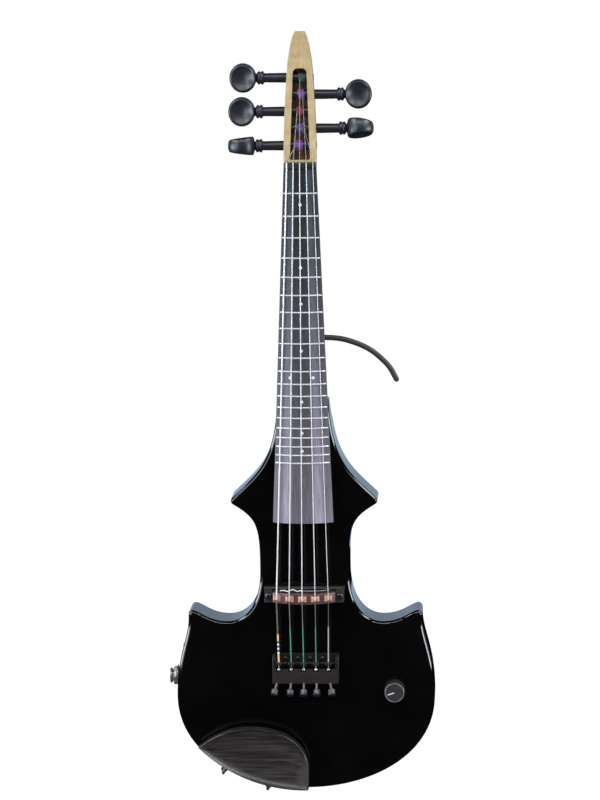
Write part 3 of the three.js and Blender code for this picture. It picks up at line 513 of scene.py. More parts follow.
def drill(a, b, radius, sides=24):
    """A straight cutter between two places."""
    length = (b - a).length * 1000
    return shape("drill", turned([(radius, 0), (radius, length)], a, b, sides))


def curve(points, steps=8):
    """A smooth path through points."""
    ends = [points[0] * 2 - points[1], *points, points[-1] * 2 - points[-2]]
    path = []
    for i in range(1, len(ends) - 2):
        p0, p1, p2, p3 = ends[i - 1:i + 3]
        for k in range(steps):
            t = k / steps
            path.append(0.5 * (2 * p1 + (p2 - p0) * t + (2 * p0 - 5 * p1 + 4 * p2 - p3) * t ** 2
                               + (3 * p1 - p0 - 3 * p2 + p3) * t ** 3))
    return path + [points[-1]]


def tube(path, radius, sides=12, round_ends=False):
    """A tube along a path, turned as little as possible; radius may be a function of the share along it."""
    count = len(path)
    tangents = [(path[min(i + 1, count - 1)] - path[max(i - 1, 0)]).normalized() for i in range(count)]
    u, _ = sides_of(tangents[0])
    rings = []
    for i, (place, tangent) in enumerate(zip(path, tangents)):
        if i:
            u = tangents[i - 1].rotation_difference(tangent) @ u
        v = tangent.cross(u).normalized()
        r = (radius(i / (count - 1)) if callable(radius) else radius) * 0.001
        ring = [place + (u * cos(2 * pi * k / sides) + v * sin(2 * pi * k / sides)) * r for k in range(sides)]
        rings.append(ring)
    if round_ends:
        r = (rings[0][0] - path[0]).length
        for end, ring, tangent in ((0, rings[0], -tangents[0]), (1, rings[-1], tangents[-1])):
            centre = path[0] if end == 0 else path[-1]
            domes = [[centre + (p - centre) * cos(a) + tangent * r * sin(a) for p in ring]
                     for a in (radians(30), radians(60), radians(86))]
            rings = domes[::-1] + rings if end == 0 else rings + domes
    return skin(rings)


def prism(outline, view, start, end):
    """A solid between two depths. view is front for (x, z), end for (x, height), side for (z, height)."""
    place = {
        "front": lambda a, b, d: at(a, d, b),
        "end": lambda a, b, d: at(a, b, d),
        "side": lambda a, b, d: at(d, b, a),
    }[view]
    return skin([[place(a, b, d) for a, b in outline] for d in (start, end)])


def box(x0, x1, low, high, z0, z1):
    return prism([(x0, z0), (x1, z0), (x1, z1), (x0, z1)], "front", low, high)


def bezier(a, b, c, d, count):
    """Points of a curve from a, left out, to d, kept."""
    points = []
    for i in range(1, count + 1):
        t = i / count
        weights = ((1 - t) ** 3, 3 * t * (1 - t) ** 2, 3 * t * t * (1 - t), t ** 3)
        points.append(tuple(sum(w * p[k] for w, p in zip(weights, (a, b, c, d))) for k in (0, 1)))
    return points


def arc(centre, radius, start, end, count):
    """Points of a circle's arc between two angles in radians."""
    angles = [mix(start, end, i / count) for i in range(count + 1)]
    return [(centre[0] + radius * cos(a), centre[1] + radius * sin(a)) for a in angles]


def rounded_rectangle(x0, x1, z0, z1, radius, count=6):
    left, right, low, high = x0 + radius, x1 - radius, z0 + radius, z1 - radius
    points = []
    for corner, turn in (((right, low), -0.5), ((right, high), 0), ((left, high), 0.5), ((left, low), 1)):
        points += arc(corner, radius, turn * pi, (turn + 0.5) * pi, count)
    return points


def inset(outline, distance):
    """An outline that runs anticlockwise, moved inwards."""
    moved = []
    for i, (x, z) in enumerate(outline):
        (x0, z0), (x1, z1) = outline[i - 1], outline[(i + 1) % len(outline)]
        length = hypot(x1 - x0, z1 - z0)
        moved.append((x - (z1 - z0) / length * distance, z + (x1 - x0) / length * distance))
    return moved


def rounded_plate(outline, low, high, edge, steps=6):
    """A plate between two heights whose edges are quarter rounds."""
    rings = []
    for i in range(steps + 1):
        a = i / steps * pi / 2
        rings.append((edge * (1 - sin(a)), low + edge * (1 - cos(a))))
    rings = [(edge + 0.15, low), *rings]
    rings += [(distance, low + high - height) for distance, height in rings[::-1]]
    return skin([[at(x, height, z) for x, z in inset(outline, distance)] for distance, height in rings])


# ---------------- body, cover and screws

def body_outline():
    corner, horn, r = (86.6, -15.8), (52.8, 72.8), 3.4
    low = -0.335 * pi
    under_horn = (horn[0] + r * cos(low), horn[1] + r * sin(low))
    right = [(0, -152.05)]
    right += bezier(right[-1], (50.5, -152.05), (99.4, -125.6), (99.4, -79.8), 30)
    right += bezier(right[-1], (99.4, -46), (88.9, -33), (corner[0] + r, corner[1]), 16)
    right += arc(corner, r, 0, 0.6 * pi, 10)[1:]
    right += bezier(right[-1], (80, -14), (73.2, -21.1), (60, -21.1), 12)
    right += bezier(right[-1], (45, -21.1), (34.2, -7), (34.2, 18), 20)
    right += bezier(right[-1], (34.2, 53.4), (35.8, 58.5), under_horn, 20)
    right += arc(horn, r, low, 0.25 * pi, 10)[1:]
    right += bezier(right[-1], (36.5, 93.3), (21.6, 102.4), (19.7, 151), 22)
    return right + [(-x, z) for x, z in right[:0:-1]]


def make_body():
    body = shape("body_shell", rounded_plate(body_outline(), 0, THICKNESS, EDGE, 7))
    x0, x1, z0, z1 = CAVITY
    rebate = rounded_rectangle(x0 - 4.3, x1 + 4.3, z0 - 4.3, z1 + 4.3, 5)
    relief = [(126, -1), *bezier((126, -1), (134, 1), (142, 20), (153, 22), 16), (154, -1)]
    jack_height, jack_z = JACK["height"], JACK["z"]
    carve(
        body,
        shape("relief", prism(relief, "side", -30, 30)),
        shape("heel_pocket", box(-14.3, 14.3, 15.7, 60, 95.7, 160)),
        shape("rebate", prism(rebate, "front", -1, 2.3)),
        shape("cavity", prism(rounded_rectangle(x0, x1, z0, z1, 4), "front", 1, 30)),
        drill(at(-110, jack_height, jack_z), at(-75.7, jack_height, jack_z), 5, 40),
        drill(at(KNOB["x"], 29, KNOB["z"]), at(KNOB["x"], 40, KNOB["z"]), 4.1),
        drill(at(LEAD_HOLE[0], 30, LEAD_HOLE[1]), at(LEAD_HOLE[0], 40, LEAD_HOLE[1]), 0.8, 16),
        rim_plate("plate_pocket", 0.3),
    )
    dress(body, BLACK, replaces="body", slot="black_gloss", sharp=30)


def cross_screw(name, place, toward, shaft, head, rise, length, material, **kw):
    """A pan-head screw with a cross recess; place is under the head and toward gives its direction."""
    profile = [(0, -rise), (head * 0.45, -rise), (head * 0.8, -rise * 0.82), (head, -rise * 0.4), (head, 0),
               (shaft, 0), (shaft, length - shaft), (0, length)]
    screw = shape(name, turned(profile, place, toward, 28))
    direction = (toward - place).normalized()
    u, v = sides_of(direction)
    for a, b in ((u, v), (v, u)):
        ends = []
        for along in (-rise - 1, -rise * 0.35):
            centre = place + direction * along * 0.001
            ends.append([centre + (a * i * head * 0.62 + b * j * head * 0.13) * 0.001
                         for i, j in ((-1, -1), (1, -1), (1, 1), (-1, 1))])
        carve(screw, shape("recess", skin(ends)))
    return dress(screw, material, **kw)


def make_back():
    x0, x1, z0, z1 = CAVITY
    outline = rounded_rectangle(x0 - 4, x1 + 4, z0 - 4, z1 + 4, 5)
    cover = shape("back_cover", rounded_plate(outline, 0.1, 2, 0.4, 3))
    dress(cover, SATIN_PLASTIC, replaces="cavity_cover", slot="black_plastic")
    places = [(x0 - 1, z0 - 1), (x1 + 1, z0 - 1), (x0 - 1, z1 + 1), (x1 + 1, z1 + 1)]
    for i, (x, z) in enumerate(places, 1):
        cross_screw(f"cover_fixing_{i}", at(x, 0.05, z), at(x, 9, z), 1.2, 2.3, 0.9, 9, SCREW_BLACK,
                    replaces=f"cover_screw_{i}", slot="black_metal")
    for i, (x, z) in enumerate([(-8, 103), (8, 103), (-8, 119), (8, 119)], 1):
        profile = [(2.4, -0.7), (5.2, -0.7), (5.6, -0.3), (5.6, 0.05), (2.4, 0.05)]
        dress(shape(f"neck_washer_{i}", hoop(profile, at(x, 0, z), at(x, 5, z))), STEEL)
        cross_screw(f"neck_fixing_{i}", at(x, -0.6, z), at(x, 34, z), 2.1, 3.6, 1.4, 33, STEEL,
                    replaces=f"neck_screw_{i}", slot="steel")


# ---------------- neck, board, frets and nut

def flowing(rows, step):
    """Rows (z, values...) filled in along smooth curves, about every step."""
    def slope(i, k):
        a, b = rows[max(i - 1, 0)], rows[min(i + 1, len(rows) - 1)]
        return (b[k] - a[k]) / (b[0] - a[0])
    filled = []
    for i in range(len(rows) - 1):
        a, b = rows[i], rows[i + 1]
        span = b[0] - a[0]
        count = max(1, round(span / step))
        for j in range(count):
            t = j / count
            row = [a[0] + span * t]
            for k in range(1, len(a)):
                start, end = slope(i, k) * span, slope(i + 1, k) * span
                row.append((2 * t ** 3 - 3 * t * t + 1) * a[k] + (t ** 3 - 2 * t * t + t) * start
                           + (3 * t * t - 2 * t ** 3) * b[k] + (t ** 3 - t * t) * end)
            filled.append(row)
    return filled + [list(rows[-1])]


def neck_ring(z, half, front, back, square, edge):
    right = []
    for i in range(5):
        a = i / 4 * pi / 2
        right.append((half - edge + edge * sin(a), front - edge + edge * cos(a)))
    depth = front - edge - back
    for i in range(1, 21):
        a = i / 20 * pi / 2
        right.append((half * max(cos(a), 0) ** (2 / square), front - edge - depth * sin(a) ** (2 / square)))
    left = [(-x, h) for x, h in right[-2::-1]]
    return [at(x, h, z) for x, h in right + left]


def make_neck():
    under = lambda z: board_underside(z) - 0.3
    heel = [(z, 14, under(z), 16, 12, 0.2) for z in (96, 124, 151)]
    curve_rows = [(151.5, 14, 16, 10)]
    bend = ((154, 16.6, 0.2), (158, 18.6, 0.5), (163, 22, 0.8), (169, 25.6, 0.95), (177, 28.4, 1))
    for z, back, share in bend:
        curve_rows.append((z, mix(14, board_half(z) - 0.3, share), back, mix(6, 2.3, share)))
    for z in (190, 220, 255, 290, 312):
        curve_rows.append((z, board_half(z) - 0.3, mix(29.6, 27.4, (z - 190) / 122), 2.2))
    curve_rows += [(322, 12.4, 26, 2.6), (330, 12.4, 23, 3.6), (331.9, 12.42, 22.2, 4)]
    neck = [(z, half, under(z), back, square, 0.2) for z, half, back, square in flowing(curve_rows, 2.5)]
    box_rows = [
        (332.0, 12.42, 22.2, 4.2), (337, 12.45, 20.6, 5), (346, 12.3, 18.8, 6), (359, 12, 16.2, 6),
        (373, 11.4, 13.6, 6), (387, 10.6, 11.6, 6), (397, 9.9, 10.6, 6), (406, 9.2, 10.4, 5),
        (413, 8.2, 11, 5), (420, 7, 12.4, 4.5), (425.6, 5.6, 14.2, 4), (429.2, 4.25, 15.8, 4),
    ]
    head = [(z, half, pegbox_front(z), back, square, 0.8) for z, half, back, square in flowing(box_rows, 2.2)]
    head.append((PEGBOX["tip"], 3.8, pegbox_front(429.7) - 0.5, 16.5, 4, 0.8))
    neck_wood = shape("neck_wood", skin([neck_ring(*row) for row in heel + neck + head]))
    neck_wood.data.materials.append(MAPLE)
    carve(neck_wood, pegbox_cutter())
    dress(neck_wood, MAPLE, replaces="neck", slot="maple", sharp=32)


def pegbox_cutter():
    length = PEGBOX["slot_top"] - PEGBOX["start"]
    low, high = 7.65, 5.3
    right = [(low - 1.2, 0), *arc((low - 1.25, 1.2), 1.2, -0.5 * pi, 0, 4)[1:]]
    right += [(high, length - 4), *arc((high - 3.7, length - 3.7), 3.7, 0, 0.5 * pi, 8)]
    outline = right + [(-x, z) for x, z in right[::-1]]
    cutter = shape("slot_cutter", skin([[at(x, h, z) for x, z in outline] for h in (-17.5, 12)]))
    tilt = Matrix.Rotation(-atan(PEGBOX["slope"]), 4, "X")
    cutter.data.transform(Matrix.Translation(at(0, PEGBOX["front"], PEGBOX["start"])) @ tilt)
    # The cut faces inside the slot take the painted-shade copy of the maple.
    cutter.data.materials.append(SHADED_SLOT_WOOD)
    return cutter


def make_board():
    rings = []
    count = 24
    for k in range(13):
        z = mix(BOARD["end"], SCALE_LENGTH, k / 12)
        half, low = board_half(z), board_underside(z)
        crown = [(mix(half, -half, i / count)) for i in range(count + 1)]
        rings.append([at(-half, low, z), at(half, low, z), *(at(x, board_top(z) - sag(x), z) for x in crown)])
    board = soften(shape("fretboard", skin(rings)), 0.45, 3, 40)
    dress(board, BOARD_WOOD_AND_SHEEN, replaces="fingerboard", slot="ebony_board")


def make_frets():
    for n in range(1, FRETS + 1):
        z = fret_level(n)
        top = board_top(z)
        half = board_half(z) - 0.25
        rings = []
        for k in range(33):
            x = mix(-half, half, k / 32)
            ring = []
            for i in range(9):
                a = pi * i / 8
                rise = 0.85 * sin(a)
                side = x * (half - 0.75 * rise) / half
                ring.append(at(side, top - sag(side) + rise, z + 0.62 * cos(a)))
            ring += [at(x, top - sag(x) - 0.4, z - 0.45), at(x, top - sag(x) - 0.4, z + 0.45)]
            rings.append(ring)
        dress(shape(f"fret_{n}", skin(rings)), FRET_SILVER, sharp=60, slot="steel")


def make_dot(name, x, z):
    top = board_top(z)
    rings = []
    for radius, rise in ((1.2, -0.4), (1.2, 0.02), (1.05, 0.07)):
        ring = []
        for i in range(28):
            a = 2 * pi * i / 28
            side = x + radius * cos(a)
            ring.append(at(side, top - sag(side) + rise, z + radius * sin(a)))
        rings.append(ring)
    dress(shape(name, skin(rings)), PEARL)


def make_dots():
    for n in DOTTED_FRETS:
        make_dot(f"dot_{n}", 0, (fret_level(n) + fret_level(n - 1)) / 2)
    for side in (-1, 1):
        z = (fret_level(12) + fret_level(11)) / 2
        make_dot(f"dot_12_{'bass' if side < 0 else 'treble'}", side * 8.7, z)


def make_nut():
    low, high, half = board_underside(SCALE_LENGTH) + 0.1, BOARD["top"][0] + 0.9, BOARD["half"][0]
    crown = [(mix(half, -half, i / 24)) for i in range(25)]
    outline = [(-half, low), (half, low), *((x, high - sag(x)) for x in crown)]
    nut = soften(shape("nut_piece", prism(outline, "end", SCALE_LENGTH + 0.1, SCALE_LENGTH + 4.5)), 0.6, 3)
    grooves = []
    for n, radius in enumerate(STRING_RADII):
        x = string_x(n, "nut")
        height = STRING_OVER_NUT - sag(x)
        grooves.append(drill(at(x, height, 326), at(x, height, 334), radius + 0.1, 14))
    carve(nut, *grooves)
    dress(nut, NUT_BLACK, replaces="nut", slot="ebony_board")


# ---------------- pegs and strings

def peg_head(side, height, level, turn, out):
    """A deeply dished round head, thicker at the collar than at its end."""
    def point(rho, angle, face):
        along = 44 + 10.3 * rho * cos(angle)
        wide = 11.2 * rho * sin(angle)
        hollow = 0.52 + 0.48 * min(rho / 0.82, 1) ** 2
        rim = sqrt(max(0, 1 - (max(rho - 0.82, 0) / 0.18) ** 2.2))
        share = min(max((along - 35) / 19, 0), 1)
        thick = face * mix(7.1, 4.5, share ** 0.9) * hollow * rim
        a = radians(turn)
        y, z = thick * cos(a) - wide * sin(a), thick * sin(a) + wide * cos(a)
        return Vector((side * (along + out), y - height, z + level)) * 0.001
    steps = (0.03, 0.2, 0.4, 0.56, 0.7, 0.78, 0.84, 0.89, 0.93, 0.965, 0.99, 1)
    rings = [[point(rho, 2 * pi * i / 56, 1) for i in range(56)] for rho in steps]
    rings += [[point(rho, 2 * pi * i / 56, -1) for i in range(56)] for rho in steps[-2::-1]]
    return skin(rings)


def make_peg(n, side, level, turn, out, _, wound, color):
    height = peg_height(level)
    stub = -mix(12.8, 10.1, (level - 340) / 60)
    start, toward = at(side * stub, height, level), at(side * 60, height, level)
    bead = [(3.5, 27), (3.6, 27.8), (4.2, 28.1), (5.0, 28.5), (5.15, 29.2), (5.0, 30), (4.3, 30.5),
            (4.3, 30.8), (4.9, 31.1), (5.1, 31.8), (4.9, 32.5), (4.1, 33), (3.3, 33.6), (2.9, 34.2),
            (3.1, 35.0), (3.9, 36.2), (4.4, 37.6), (3.6, 41)]
    profile = [(0, stub), (2.4, stub + 0.05), (3.2, stub + 0.35), (3.6, stub + 1), (3.7, stub + 2), (3.7, 14)]
    profile += [(r, along + out) for r, along in bead]
    body = f"peg_{n}"
    shaft = shape(f"peg_shaft_{n}", turned([(r, along - stub) for r, along in profile], start, toward, 36))
    dress(shaft, EBONY, body, replaces=body, slot="ebony", sharp=50, weighted=False)
    head = shape(f"peg_head_{n}", peg_head(side, height, level, turn, out))
    dress(head, EBONY, body, slot="ebony", sharp=60, weighted=False)
    wire, pitch = 0.33, 0.68
    count = round((wound[1] - wound[0]) / pitch * 24)
    path = []
    for i in range(count + 1):
        a = 2 * pi * i / 24
        x = mix(*wound, i / count)
        path.append(at(x, height + WINDING_RADIUS * cos(a), level + WINDING_RADIUS * sin(a)))
    winding = shape(f"peg_winding_{n}", tube(path, wire, 7))
    dress(winding, silk(f"winding_silk_{n}", color), body, sharp=60, weighted=False)


def make_string(n):
    radius = STRING_RADII[n]
    level, wrap = PEGS[n][1], PEGS[n][4]
    nut_x, bridge_x, tail_x = (string_x(n, place) for place in ("nut", "bridge", "tail"))
    nut_height = STRING_OVER_NUT - sag(nut_x)
    bridge_place = at(bridge_x, STRING_OVER_BRIDGE - sag(bridge_x), 0)
    tail_place = at(tail_x, *TAIL_END)
    over_nut = at(nut_x, nut_height - 0.15, SCALE_LENGTH + 4.9)
    clearance = 0.37 + radius * 0.8
    to_peg = [at(wrap, peg_height(level) + WINDING_RADIUS + clearance, level), over_nut]
    # The run into the pegbox uses the darker, painted-shade copy of the string steel.
    head_run = shape(f"string_head_{n + 1}", tube(to_peg, radius * 0.8, 10))
    dress(head_run, SHADED_STRING, slot="string_steel", weighted=False)
    on_nut = [at(nut_x, nut_height, SCALE_LENGTH + z) for z in (2, 0)]
    route = [over_nut, *on_nut, bridge_place]
    main = shape(f"string_run_{n + 1}", tube(route, radius, 14))
    metal = PLAIN if n in (0, 4) else WOUND
    dress(main, metal, replaces=f"string_{n + 1}", slot="string_steel", weighted=False)

    def stretch(name, z0, z1, thickness, material):
        points = [bridge_place.lerp(tail_place, z / TAIL_END[1]) for z in (z0, (z0 + z1) / 2, z1)]
        piece = shape(f"{name}_{n + 1}", tube(points, thickness, 14))
        dress(piece, material, body=None, slot="string_steel", weighted=False)
        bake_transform(piece)

    # The afterlength and the lowest string's core use the darker, painted-shade copy of the string steel.
    stretch("string_afterlength", 0, SILK_START - 2, radius * 0.9, SHADED_STRING)
    if n == 0:
        stretch("string_core", SILK_START - 2, -27.5, radius * 0.9, SHADED_STRING)
        stretch("silk_upper", -27.5, -33, 0.72, GOLD_SILK)
        stretch("silk_middle", -33, -43.5, 0.72, NAVY_SILK)
        stretch("silk_lower", -43.5, -49.9, 0.74, GOLD_SILK)
    else:
        last = n == 4
        thickness = radius + (0.22 if last else 0.05)
        stretch("silk", SILK_START, -49.9, thickness, SILVER_SLEEVE if last else GREEN_SILK)


# ---------------- bridge, saddles and leads

def make_bridge():
    half, start, end, plate, bar = (BRIDGE[key] for key in ("half", "from", "to", "plate", "bar"))
    foot = [(-half + 2.6, start), (half - 2.6, start), (half, end), (-half, end)]
    base = soften(shape("bridge_base_plate", prism(foot, "front", THICKNESS + 0.1, plate)), 0.5, 3)
    dress(base, BASE_METAL, replaces="bridge_base", slot="black_metal")
    for i, side in enumerate((-1, 1), 1):
        corners = ((bar + 0.4, plate - 1), (half - 0.6, plate - 1), (half - 1.2, 50.1), (bar + 0.4, 50.1))
        post = [(side * x, height) for x, height in corners]
        end_post = soften(shape(f"bridge_post_{i}", prism(post, "end", start + 1.2, end - 1)), 0.5, 3)
        dress(end_post, BASE_METAL, slot="black_metal")
        x = side * BRIDGE["screw"]
        cross_screw(f"bridge_fixing_{i}", at(x, 50.2, 1), at(x, 24, 1), 1.4, 2.5, 1.5, 14, HEAD_METAL,
                    replaces=f"bridge_screw_{i}", slot="steel")
    near, far = end - 1.2, end - 0.1
    rail = [(-half + 1.5, near), (half - 1.5, near), (half - 1.2, far), (-half + 1.2, far)]
    back_rail = soften(shape("bridge_rail", prism(rail, "front", plate - 0.5, plate + 2.2)), 0.3)
    dress(back_rail, RAIL_METAL, slot="black_metal")


def make_bar():
    depth = 5.5
    top = STRING_OVER_BRIDGE - 1.1 - 2.8 - 0.1
    outer = CROWN - (STRING_OVER_BRIDGE - top)
    inner = outer - depth
    centre = STRING_OVER_BRIDGE - CROWN
    foot, low = BRIDGE["bar"], BRIDGE["plate"] + 0.1
    reach = lambda radius, x: centre + sqrt(max(radius * radius - x * x, 0))
    outline = [(foot, low)]
    outline += [(x, reach(outer, x)) for x in (mix(foot, -foot, i / 40) for i in range(41))]
    outline += [(-foot, low), (-18.5, low)]
    outline += [(x, reach(inner, x)) for x in (mix(-18.5, 18.5, i / 36) for i in range(37))]
    outline += [(18.5, low)]
    bar = soften(shape("bridge_arch", prism(outline, "end", -3.6, 4.4)), 0.7, 3, 40)
    dress(bar, BAR_WOOD, replaces="bridge_bar", slot="bridge_wood")


def make_saddle(n):
    """Two copper lobes with a groove between them for the string."""
    height, length = 2.8, 4.8
    half = [(3.25, 0), (3.25, 1.5), (2.65, 2.5), (1.9, height), (1.1, height), (0.6, 2.2), (0.25, 1.9)]
    outline = half + [(-x, h) for x, h in half[::-1]]
    block = shape(f"saddle_block_{n + 1}", prism(outline, "end", 0.9 - length / 2, 0.9 + length / 2))
    soften(block, 0.3, 2, 45)
    for vertex in block.data.vertices:
        share = min(abs(vertex.co.x) / 0.0026, 1)
        vertex.co.z = 0.0009 + (vertex.co.z - 0.0009) * mix(0.5, 0.94, share ** 1.5)
    radius = CROWN - 1.1 - height
    swing = Matrix.Rotation(asin(string_x(n, "bridge") / (radius + height / 2)), 4, "Z")
    lift = Matrix.Translation(at(0, radius, 0))
    block.data.transform(Matrix.Translation(at(0, STRING_OVER_BRIDGE - CROWN, 0)) @ swing @ lift)
    dress(block, COPPER, replaces=f"saddle_{n + 1}", slot="copper")


def make_leads():
    curl = [at(-18, 50.8, 5.6), at(-15.4, 52.9, 6.2), at(-12.6, 53.4, 5.6), at(-10, 52.8, 6.2), at(-8, 54, 7),
            at(-6, 54.2, 6.1), at(-4.4, 53.4, 5.6), at(-2.6, 53.9, 6.2), at(-0.5, 54.2, 5.8)]
    lead = shape("pickup_lead_white", tube(curve(curl, 6), 0.42, 9, True))
    dress(lead, LEAD_WHITE, replaces="pickup_lead", slot="lead_white", weighted=False)
    x, z = LEAD_HOLE
    path = curve([at(-1.2, 54, 5.9), at(6, 54.2, 5.9), at(12, 52.8, 5.8), at(17, 49.4, 5.7), at(x, 44.5, z),
                  at(x, 36, z)], 6)
    for k in range(3):
        shift = Vector((0, -0.0005, 0)) * (k - 1)
        strand = shape(f"ribbon_strand_{k + 1}", tube([p + shift for p in path], 0.3, 8, True))
        dress(strand, RIBBON, slot="lead_white", weighted=False)


# ---------------- tailpiece, levers and tuning screws

def make_tailpiece():
    left, right, start, end = TAIL["left"], TAIL["right"], TAIL["from"], TAIL["to"]
    plate, top, wall = TAIL["plate"], TAIL["top"], TAIL["wall"]
    base = soften(shape("tail_base", prism(rounded_rectangle(left, right, start, end, 1.2, 3), "front",
                                           THICKNESS + 0.1, plate)), 0.4)
    dress(base, TAIL_BLACK, replaces="tailpiece_frame", slot="black_metal")
    outline = [(start + 0.2, plate - 0.5), (end, plate - 0.5), (end, 45.5), (end - 2.5, 48.5),
               (TAIL["lid"] + 0.8, top - 0.8), (start + 0.2, top - 0.8)]
    for i, x in enumerate((left, right - wall), 1):
        side = soften(shape(f"tail_side_{i}", prism(outline, "side", x, x + wall)), 0.5, 3)
        dress(side, TAIL_BLACK, slot="black_metal")
    front = TAIL["lid"]
    lid = [(left, start), (right, start), (right, front)]
    for n in range(4, -1, -1):
        x = string_x(n, "tail")
        lid += [(x + 2.2, front), (x + 2.2, front - 1.2), (x + 1.4, front - 2.6)]
        lid += [(x - 1.4, front - 2.6), (x - 2.2, front - 1.2), (x - 2.2, front)]
    lid.append((left, front))
    cover = soften(shape("tail_top", prism(lid, "front", top - 3, top)), 0.4, 2)
    dress(cover, TAIL_METAL, slot="black_metal")
    back = shape("tail_back", box(left + 1, right - 1, plate - 0.5, top - 1, start + 0.2, start + 2.4))
    dress(soften(back, 0.3), TAIL_BLACK, slot="black_metal")
    for i in range(4):
        x = (i - 1.5) * 9.5 + STRING_BAND["shift"]
        under_head, inward = at(x, plate, -48.6), at(x, 30, -48.6)
        cross_screw(f"tail_fixing_{i + 1}", under_head, inward, 0.8, 1.1, 0.6, 3.5, SCREW_BLACK)


def make_lever(n):
    height, z = PIN
    x = string_x(n, "tail")
    hook = [(-10.2, -1.9), (0.5, -2.5), (1.8, -2.1), (2.4, -1.2), (2.4, 2.6), (1.8, 4.2), (1.8, 6.0),
            (1.2, 6.7), (-0.4, 6.7), (-0.9, 6.1), (-0.9, 3), (-1.8, 2.1), (-4, -0.6), (-10.2, -0.7)]
    outline = [(z + a, height + b) for a, b in hook]
    lever = shape(f"tuner_arm_{n + 1}", prism(outline, "side", x - 2.1, x + 2.1))
    soften(lever, 0.3)
    slot = shape("string_slot", box(x - 0.8, x + 0.8, height + 4.4, height + 8, z - 3, z + 3))
    carve(lever, slot, drill(at(x - 5, height, z), at(x + 5, height, z), 1.2))
    body = f"tuner_lever_{n + 1}"
    dress(lever, SCREW_BLACK, body, replaces=body, slot="black_metal")
    centre = at(x, height + 5.4, z - 3.9)
    ball = turned([(1.3 * sin(pi * i / 12), 1.3 * (1 - cos(pi * i / 12))) for i in range(13)],
                  centre + Vector((0.0013, 0, 0)), centre, 24)
    dress(shape(f"ball_end_{n + 1}", ball), STEEL, body, weighted=False)
    # The string's end in the lever uses the darker, painted-shade copy of the string steel.
    end = tube([at(x, TAIL_END[0], TAIL_END[1]), at(x, height + 5.4, z), centre], 0.34, 10)
    dress(shape(f"string_end_{n + 1}", end), SHADED_STRING, body, weighted=False)


def make_tuner(n):
    height, z = TUNER["tip"]
    lean = radians(TUNER["tilt"])
    direction = Vector((TUNER["fan"][n], -sin(lean), -cos(lean))).normalized()
    tip = at(string_x(n, "tail"), height, z)
    body = f"tuner_screw_{n + 1}"
    stem = turned([(0.7, 0), (1.15, 0.5), (1.15, 13.8)], tip, tip + direction, 20)
    dress(shape(f"tuner_stem_{n + 1}", stem), HEAD_METAL, body, replaces=body, slot="steel")
    profile = [(1.2, 13.5), (2.4, 13.55), (2.75, 13.9), (2.9, 14.3), (2.9, 17.3), (2.7, 17.9), (2.2, 18.2),
               (1.2, 18.3), (0, 18.1)]
    head = turned(profile, tip, tip + direction, ribs=20, rib_depth=0.2, ribbed=(14.2, 17.4))
    dress(shape(f"tuner_head_{n + 1}", head), HEAD_METAL, body, slot="black_metal", weighted=False)


# ---------------- controls and jack

def make_knob():
    x, z, r, top = KNOB["x"], KNOB["z"], KNOB["radius"], KNOB["top"]
    base = THICKNESS + 1.2
    profile = [(3.4, 0), (r - 0.3, 0), (r, 0.4), (r, 9.8), (r - 0.2, 10.9), (r - 0.6, 11.5), (r - 1.1, 11.7),
               (r - 1.3, 11.5), (r - 2.6, 11.4), (0, 11.4)]
    knob = turned(profile, at(x, base, z), at(x, 60, z), ribs=40, rib_depth=0.2, ribbed=(1.5, 9.6))
    dress(shape("knob", knob), KNOB_BLACK, "volume_knob", replaces="volume_knob", slot="knob_plastic")
    rim = [(r - 1.1, 11.72), (r - 0.75, 11.62), (r - 0.8, 11.3), (r - 1.15, 11.3)]
    dress(shape("knob_ring", hoop(rim, at(x, base, z), at(x, 60, z), 64)), RING_METAL, "volume_knob")
    along = Vector((-0.947, -0.32))
    across = Vector((0.32, -0.947))
    corners = [(0.2, -0.42), (5.5, -0.42), (5.5, 0.42), (0.2, 0.42)]
    outline = [(x + along.x * a + across.x * b, z + along.y * a + across.y * b) for a, b in corners]
    pointer = soften(shape("knob_pointer", prism(outline, "front", base + 11.1, base + 11.6)), 0.1)
    dress(pointer, PAINT_WHITE, "volume_knob")


def make_jack():
    height, z = JACK["height"], JACK["z"]
    start, toward = at(-106, height, z), at(-70, height, z)
    profile = [(3.3, 0.3), (3.6, 0), (5.6, 0), (5.9, 0.3), (5.9, 1.3), (5.6, 1.6), (4.7, 1.7), (4.7, 30),
               (3.3, 30)]
    barrel = shape("jack_barrel", hoop(profile, start, toward, 48))
    dress(barrel, CHROME, replaces="output_jack", slot="chrome_jack")
    first = at(-103.2, height, z)
    blank = turned([(6.7, 0), (7.6, 0.6), (7.6, 2.4), (7.0, 2.9)], first, toward, 6)
    nut = carve(shape("jack_hex", blank), drill(at(-104, height, z), at(-98, height, z), 4.75, 40))
    dress(soften(nut, 0.25, 2, 40), CHROME, replaces="jack_nut", slot="chrome_jack")
    washer = hoop([(4.8, 2.95), (8.2, 2.95), (8.2, 3.5), (4.8, 3.5)], first, toward, 48)
    dress(shape("jack_washer", washer), CHROME, slot="chrome_jack")


def rim_plate(name, growth=0.0):
    """The small plate in the rim, or the block a little larger than it that cuts its pocket."""
    outline = rounded_rectangle(-6.25 - growth, 6.25 + growth, -9 - growth, 9 + growth, 1.2, 4)
    depth = RIM_PLATE["thickness"] / 2 + growth
    plate = shape(name, skin([[Vector((d, a, b)) * 0.001 for b, a in outline] for d in (-depth, depth)]))
    place = Matrix.Translation(at(RIM_PLATE["x"], THICKNESS / 2, RIM_PLATE["z"]))
    plate.data.transform(place @ Matrix.Rotation(RIM_PLATE["tilt"], 4, "Y"))
    return plate


